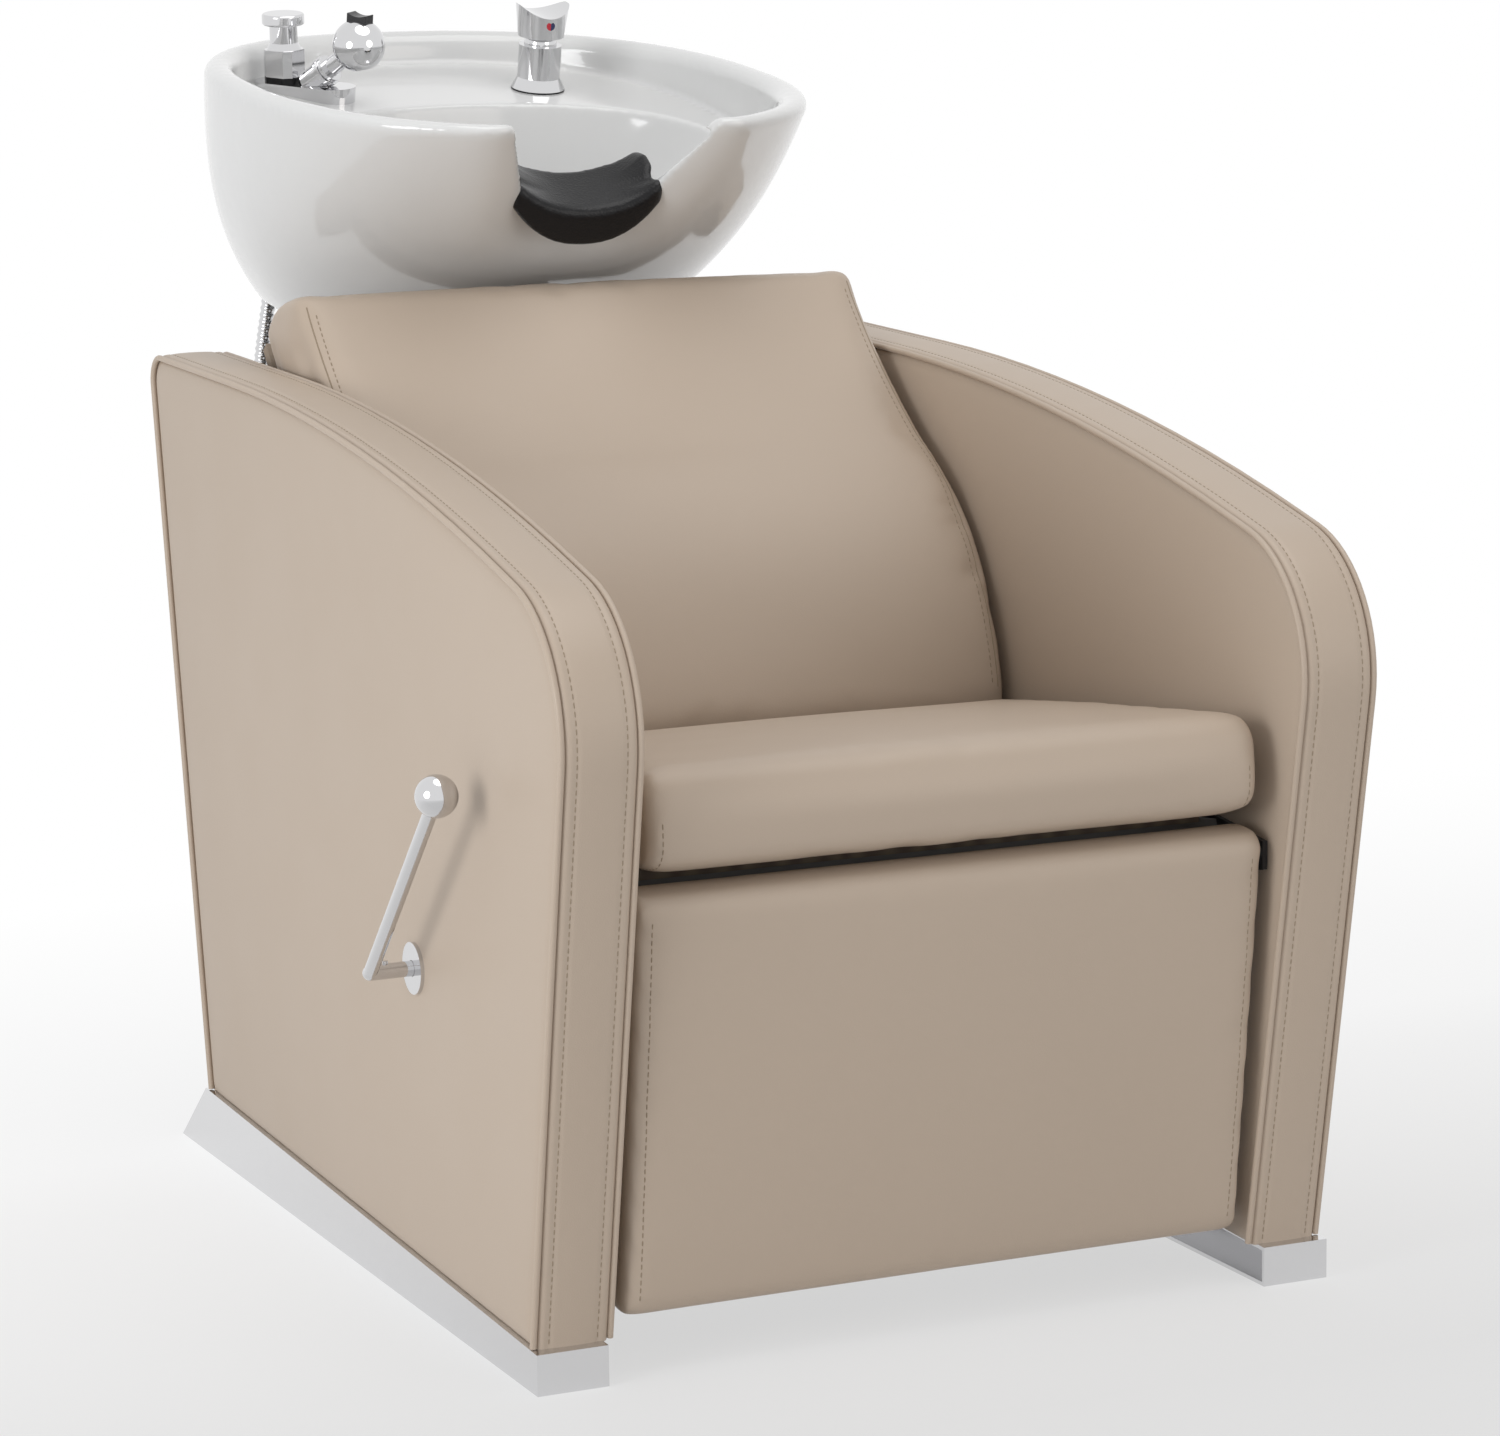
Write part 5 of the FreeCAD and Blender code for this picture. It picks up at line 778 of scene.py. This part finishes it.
def spray_hose():
    """Ribbed metal hose from the breaker's tail round its loop to the spray socket."""
    tail, down = pipe_end("breaker_tail")
    foot, down = pipe_end("hose_guide")
    loop = [np.array((x, FEET_FRONT + y, z)) for x, y, z in HOSE_POINTS]
    line = hose_line([tail, tail + down * HOSE_LEAD] + loop + [foot + down * HOSE_LEAD, foot])
    fine = evenly(line, HOSE_RING_SPACING)
    along = headings(fine)
    side = np.cross(along, BACKWARDS)
    side /= np.linalg.norm(side, axis=1)[:, None]
    rise = np.cross(along, side)
    wave = np.cos(np.linspace(0, 2 * math.pi * HOSE_RIBS, len(fine)))
    radius = HOSE_DIAMETER / 2 - HOSE_RIB_DEPTH * (0.5 - 0.5 * wave)
    reach = radius[:, None]
    points = tube(fine, side * reach, rise * reach, HOSE_SIDES)
    hose = piece("ribbed_hose", points, grid_faces(len(fine), HOSE_SIDES, True), CHROME, "bowl")
    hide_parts("spray_hose")


def dress_arms():
    for side, hand in HANDS:
        outer = hand + "_outer_panel"
        inner = hand + "_inner_panel"
        outer_x = max(abs(c.x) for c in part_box(outer)) * side
        inner_x = min(abs(c.x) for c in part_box(inner)) * side
        arm_panel(outer, hand + "_outer_cover", outer_x, side)
        arm_panel(inner, hand + "_inner_cover", inner_x, -side)
    bands = [arm_band(side, hand + "_band_cover") for side, hand in HANDS]
    for band in bands:
        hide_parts("arm_bands")


def front_starts(x, heights):
    """Places in front of the chair, one above the other."""
    return [(x, IN_FRONT, z) for z in heights]


def dress_cushions():
    seat = cushion("seat_cushion", "seat_pad", "chair", CUSHION_PUFF)
    back = cushion("back_cushion", "back_pad", "chair", CUSHION_PUFF, BACK_WIDEN)
    leg = cushion("legrest_cushion", "leg_pad", "legrest", LEG_PUFF)
    low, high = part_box("back_cushion")
    edge = high.x * BACK_WIDEN
    heights = np.linspace(low.z + BACK_STITCH_ENDS[0], high.z - BACK_STITCH_ENDS[1], BACK_ROW_POINTS)
    for side, hand in HANDS:
        row = front_starts(side * (edge - BACK_STITCH_INSET), heights)
        surface_row("back_stitches_" + hand, back, row, BACKWARDS, "chair")
        row = front_starts(side * (edge - BACK_SEAM_INSET), heights)
        surface_seam("back_seam_" + hand, back, row, BACKWARDS, "chair")
    low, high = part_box("legrest_cushion")
    heights = np.linspace(low.z + LEG_STITCH_ENDS[0], high.z - LEG_STITCH_ENDS[1], LEG_ROW_POINTS)
    for side, hand in HANDS:
        row = front_starts(side * (high.x - LEG_STITCH_INSET), heights)
        surface_row("leg_stitches_" + hand, leg, row, BACKWARDS, "legrest")
    low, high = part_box("seat_cushion")
    heights = np.linspace(high.z - SEAT_STITCH_DEPTHS[0], high.z - SEAT_STITCH_DEPTHS[1], SEAT_ROW_POINTS)
    for side, hand in HANDS:
        row = front_starts(side * (high.x - SEAT_STITCH_INSET), heights)
        surface_row("seat_stitches_" + hand, seat, row, BACKWARDS, "chair")


def dress_bowl():
    softened("bowl", "glazed_bowl", GLAZE, "bowl", BOWL_VOXEL, BOWL_SMOOTHING)
    saddle = softened("neck_rest", "neck_saddle", RUBBER, "bowl", NECK_VOXEL, NECK_SMOOTHING,
                      NECK_SWELLS)
    raise_saddle_ends(saddle)
    smooth(saddle, NECK_LAST_SMOOTHING)


def raise_saddle_ends(saddle):
    """Lifts the front of the saddle's two ends over the corners of the ceramic notch."""
    low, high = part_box("neck_rest")
    for vertex in saddle.data.vertices:
        end = min(abs(vertex.co.x) / high.x, 1) ** NECK_END_POWER
        ahead = (high.y - vertex.co.y) / (high.y - low.y)
        front = min(max(NECK_FRONT_GAIN * ahead - NECK_FRONT_START, 0), 1)
        vertex.co.z += NECK_END_RISE * end * front


def studio():
    """White room: a pale floor that keeps the shadow, and soft lamps left, overhead and in front."""
    mesh = bpy.data.meshes.new("studio_floor")
    corners = [(x * FLOOR_REACH, y * FLOOR_REACH, 0) for x, y in ((-1, -1), (1, -1), (1, 1), (-1, 1))]
    mesh.from_pydata(corners, [], [(0, 1, 2, 3)])
    floor = bpy.data.objects.new("studio_floor", mesh)
    bpy.context.scene.collection.objects.link(floor)
    mesh.materials.append(floor_finish())
    white_room()
    lamp("key_light", place=(-3.0, -1.1, 1.1), target=(0, 0, 0.45), size=1.6, power=41,
         colour=(0.98, 0.99, 1.0))
    lamp("top_light", place=(0.3, -0.5, 3.4), target=(0, 0, 0.4), size=2.6, power=33,
         colour=(1.0, 0.99, 0.98))
    lamp("front_light", place=(1.9, -3.2, 1.4), target=(0, 0, 0.4), size=2.2, power=18,
         colour=(1.0, 0.95, 0.90))


def floor_finish():
    """Pale floor that keeps a light shadow; its glow to the camera is white behind and far off, with painted shade
    making it greyer towards the front.
    """
    finish = Finish("pale_floor", base_color=(0.80, 0.80, 0.80, 1), roughness=0.7, specular_ior_level=0.1)
    depth = finish.node("SeparateXYZ", output="Y", Vector=finish.place())
    reach = finish.node("VectorMath", {"operation": "LENGTH"}, output="Value", Vector=finish.place())
    far = finish.ramp(reach, FLOOR_FADE, (0.0, 1.0))
    # painted shade: the floor's glow to the camera is greyer towards the front
    shade = finish.ramp(depth, FLOOR_SHADE_RUN, (FLOOR_FRONT_SHADE, 1.0))
    shade = shade + far * (1.0 - shade)
    glow = finish.node("Emission", Color=finish.node("CombineColor", Red=shade, Green=shade, Blue=shade))
    share = finish.ramp(depth, FLOOR_GLOW_RUN, (FLOOR_FRONT_GLOW, 1.0))
    share = (share + far * (1.0 - share)) * finish.seen_rays()
    surface = finish.mixed(share, Value(finish.tree, finish.shader.outputs[0]), glow)
    finish.feed(finish.tree.nodes["Material Output"], "Surface", surface)
    return finish.material


def white_room():
    """World that is white to the camera and in metal and glaze, and an even light elsewhere."""
    world = bpy.data.worlds.new("white_room")
    bpy.context.scene.world = world
    world.use_nodes = True
    world.node_tree.nodes.clear()
    room = Nodes(world.node_tree)
    light = room.node("Background", Color=ROOM_TINT, Strength=ROOM_LIGHT)
    white = room.node("Background", Color=WHITE)
    output = world.node_tree.nodes.new("ShaderNodeOutputWorld")
    room.feed(output, "Surface", room.mixed(room.seen_rays(), light, white))


def lamp(name, place, target, size, power, colour):
    """A round soft lamp that faces its target."""
    light = bpy.data.lights.new(name, "AREA")
    light.shape = "DISK"
    light.size = size
    light.energy = power
    light.color = colour
    made = bpy.data.objects.new(name, light)
    bpy.context.scene.collection.objects.link(made)
    made.location = place
    made.rotation_euler = (Vector(target) - Vector(place)).to_track_quat("-Z", "Y").to_euler()


def photograph_camera():
    camera = bpy.data.cameras.new("photograph_camera")
    camera.lens = CAMERA_LENS
    camera.sensor_width = CAMERA_SENSOR
    camera.sensor_fit = "HORIZONTAL"
    made = bpy.data.objects.new("photograph_camera", camera)
    bpy.context.scene.collection.objects.link(made)
    azimuth = math.radians(CAMERA_AZIMUTH)
    elevation = math.radians(CAMERA_ELEVATION)
    level = math.cos(elevation)
    ahead = Vector((-math.sin(azimuth) * level, math.cos(azimuth) * level, -math.sin(elevation)))
    turn = ahead.to_track_quat("-Z", "Y").to_matrix()
    roll = Matrix.Rotation(math.radians(CAMERA_ROLL), 3, "Z")
    made.matrix_world = Matrix.Translation(CAMERA_PLACE) @ (turn @ roll).to_4x4()
    bpy.context.scene.camera = made


def main():
    bpy.context.scene.view_settings.view_transform = "Standard"
    photograph_camera()
    paint_cad_nodes()
    spray_hose()
    dress_arms()
    dress_cushions()
    dress_bowl()
    studio()


main()
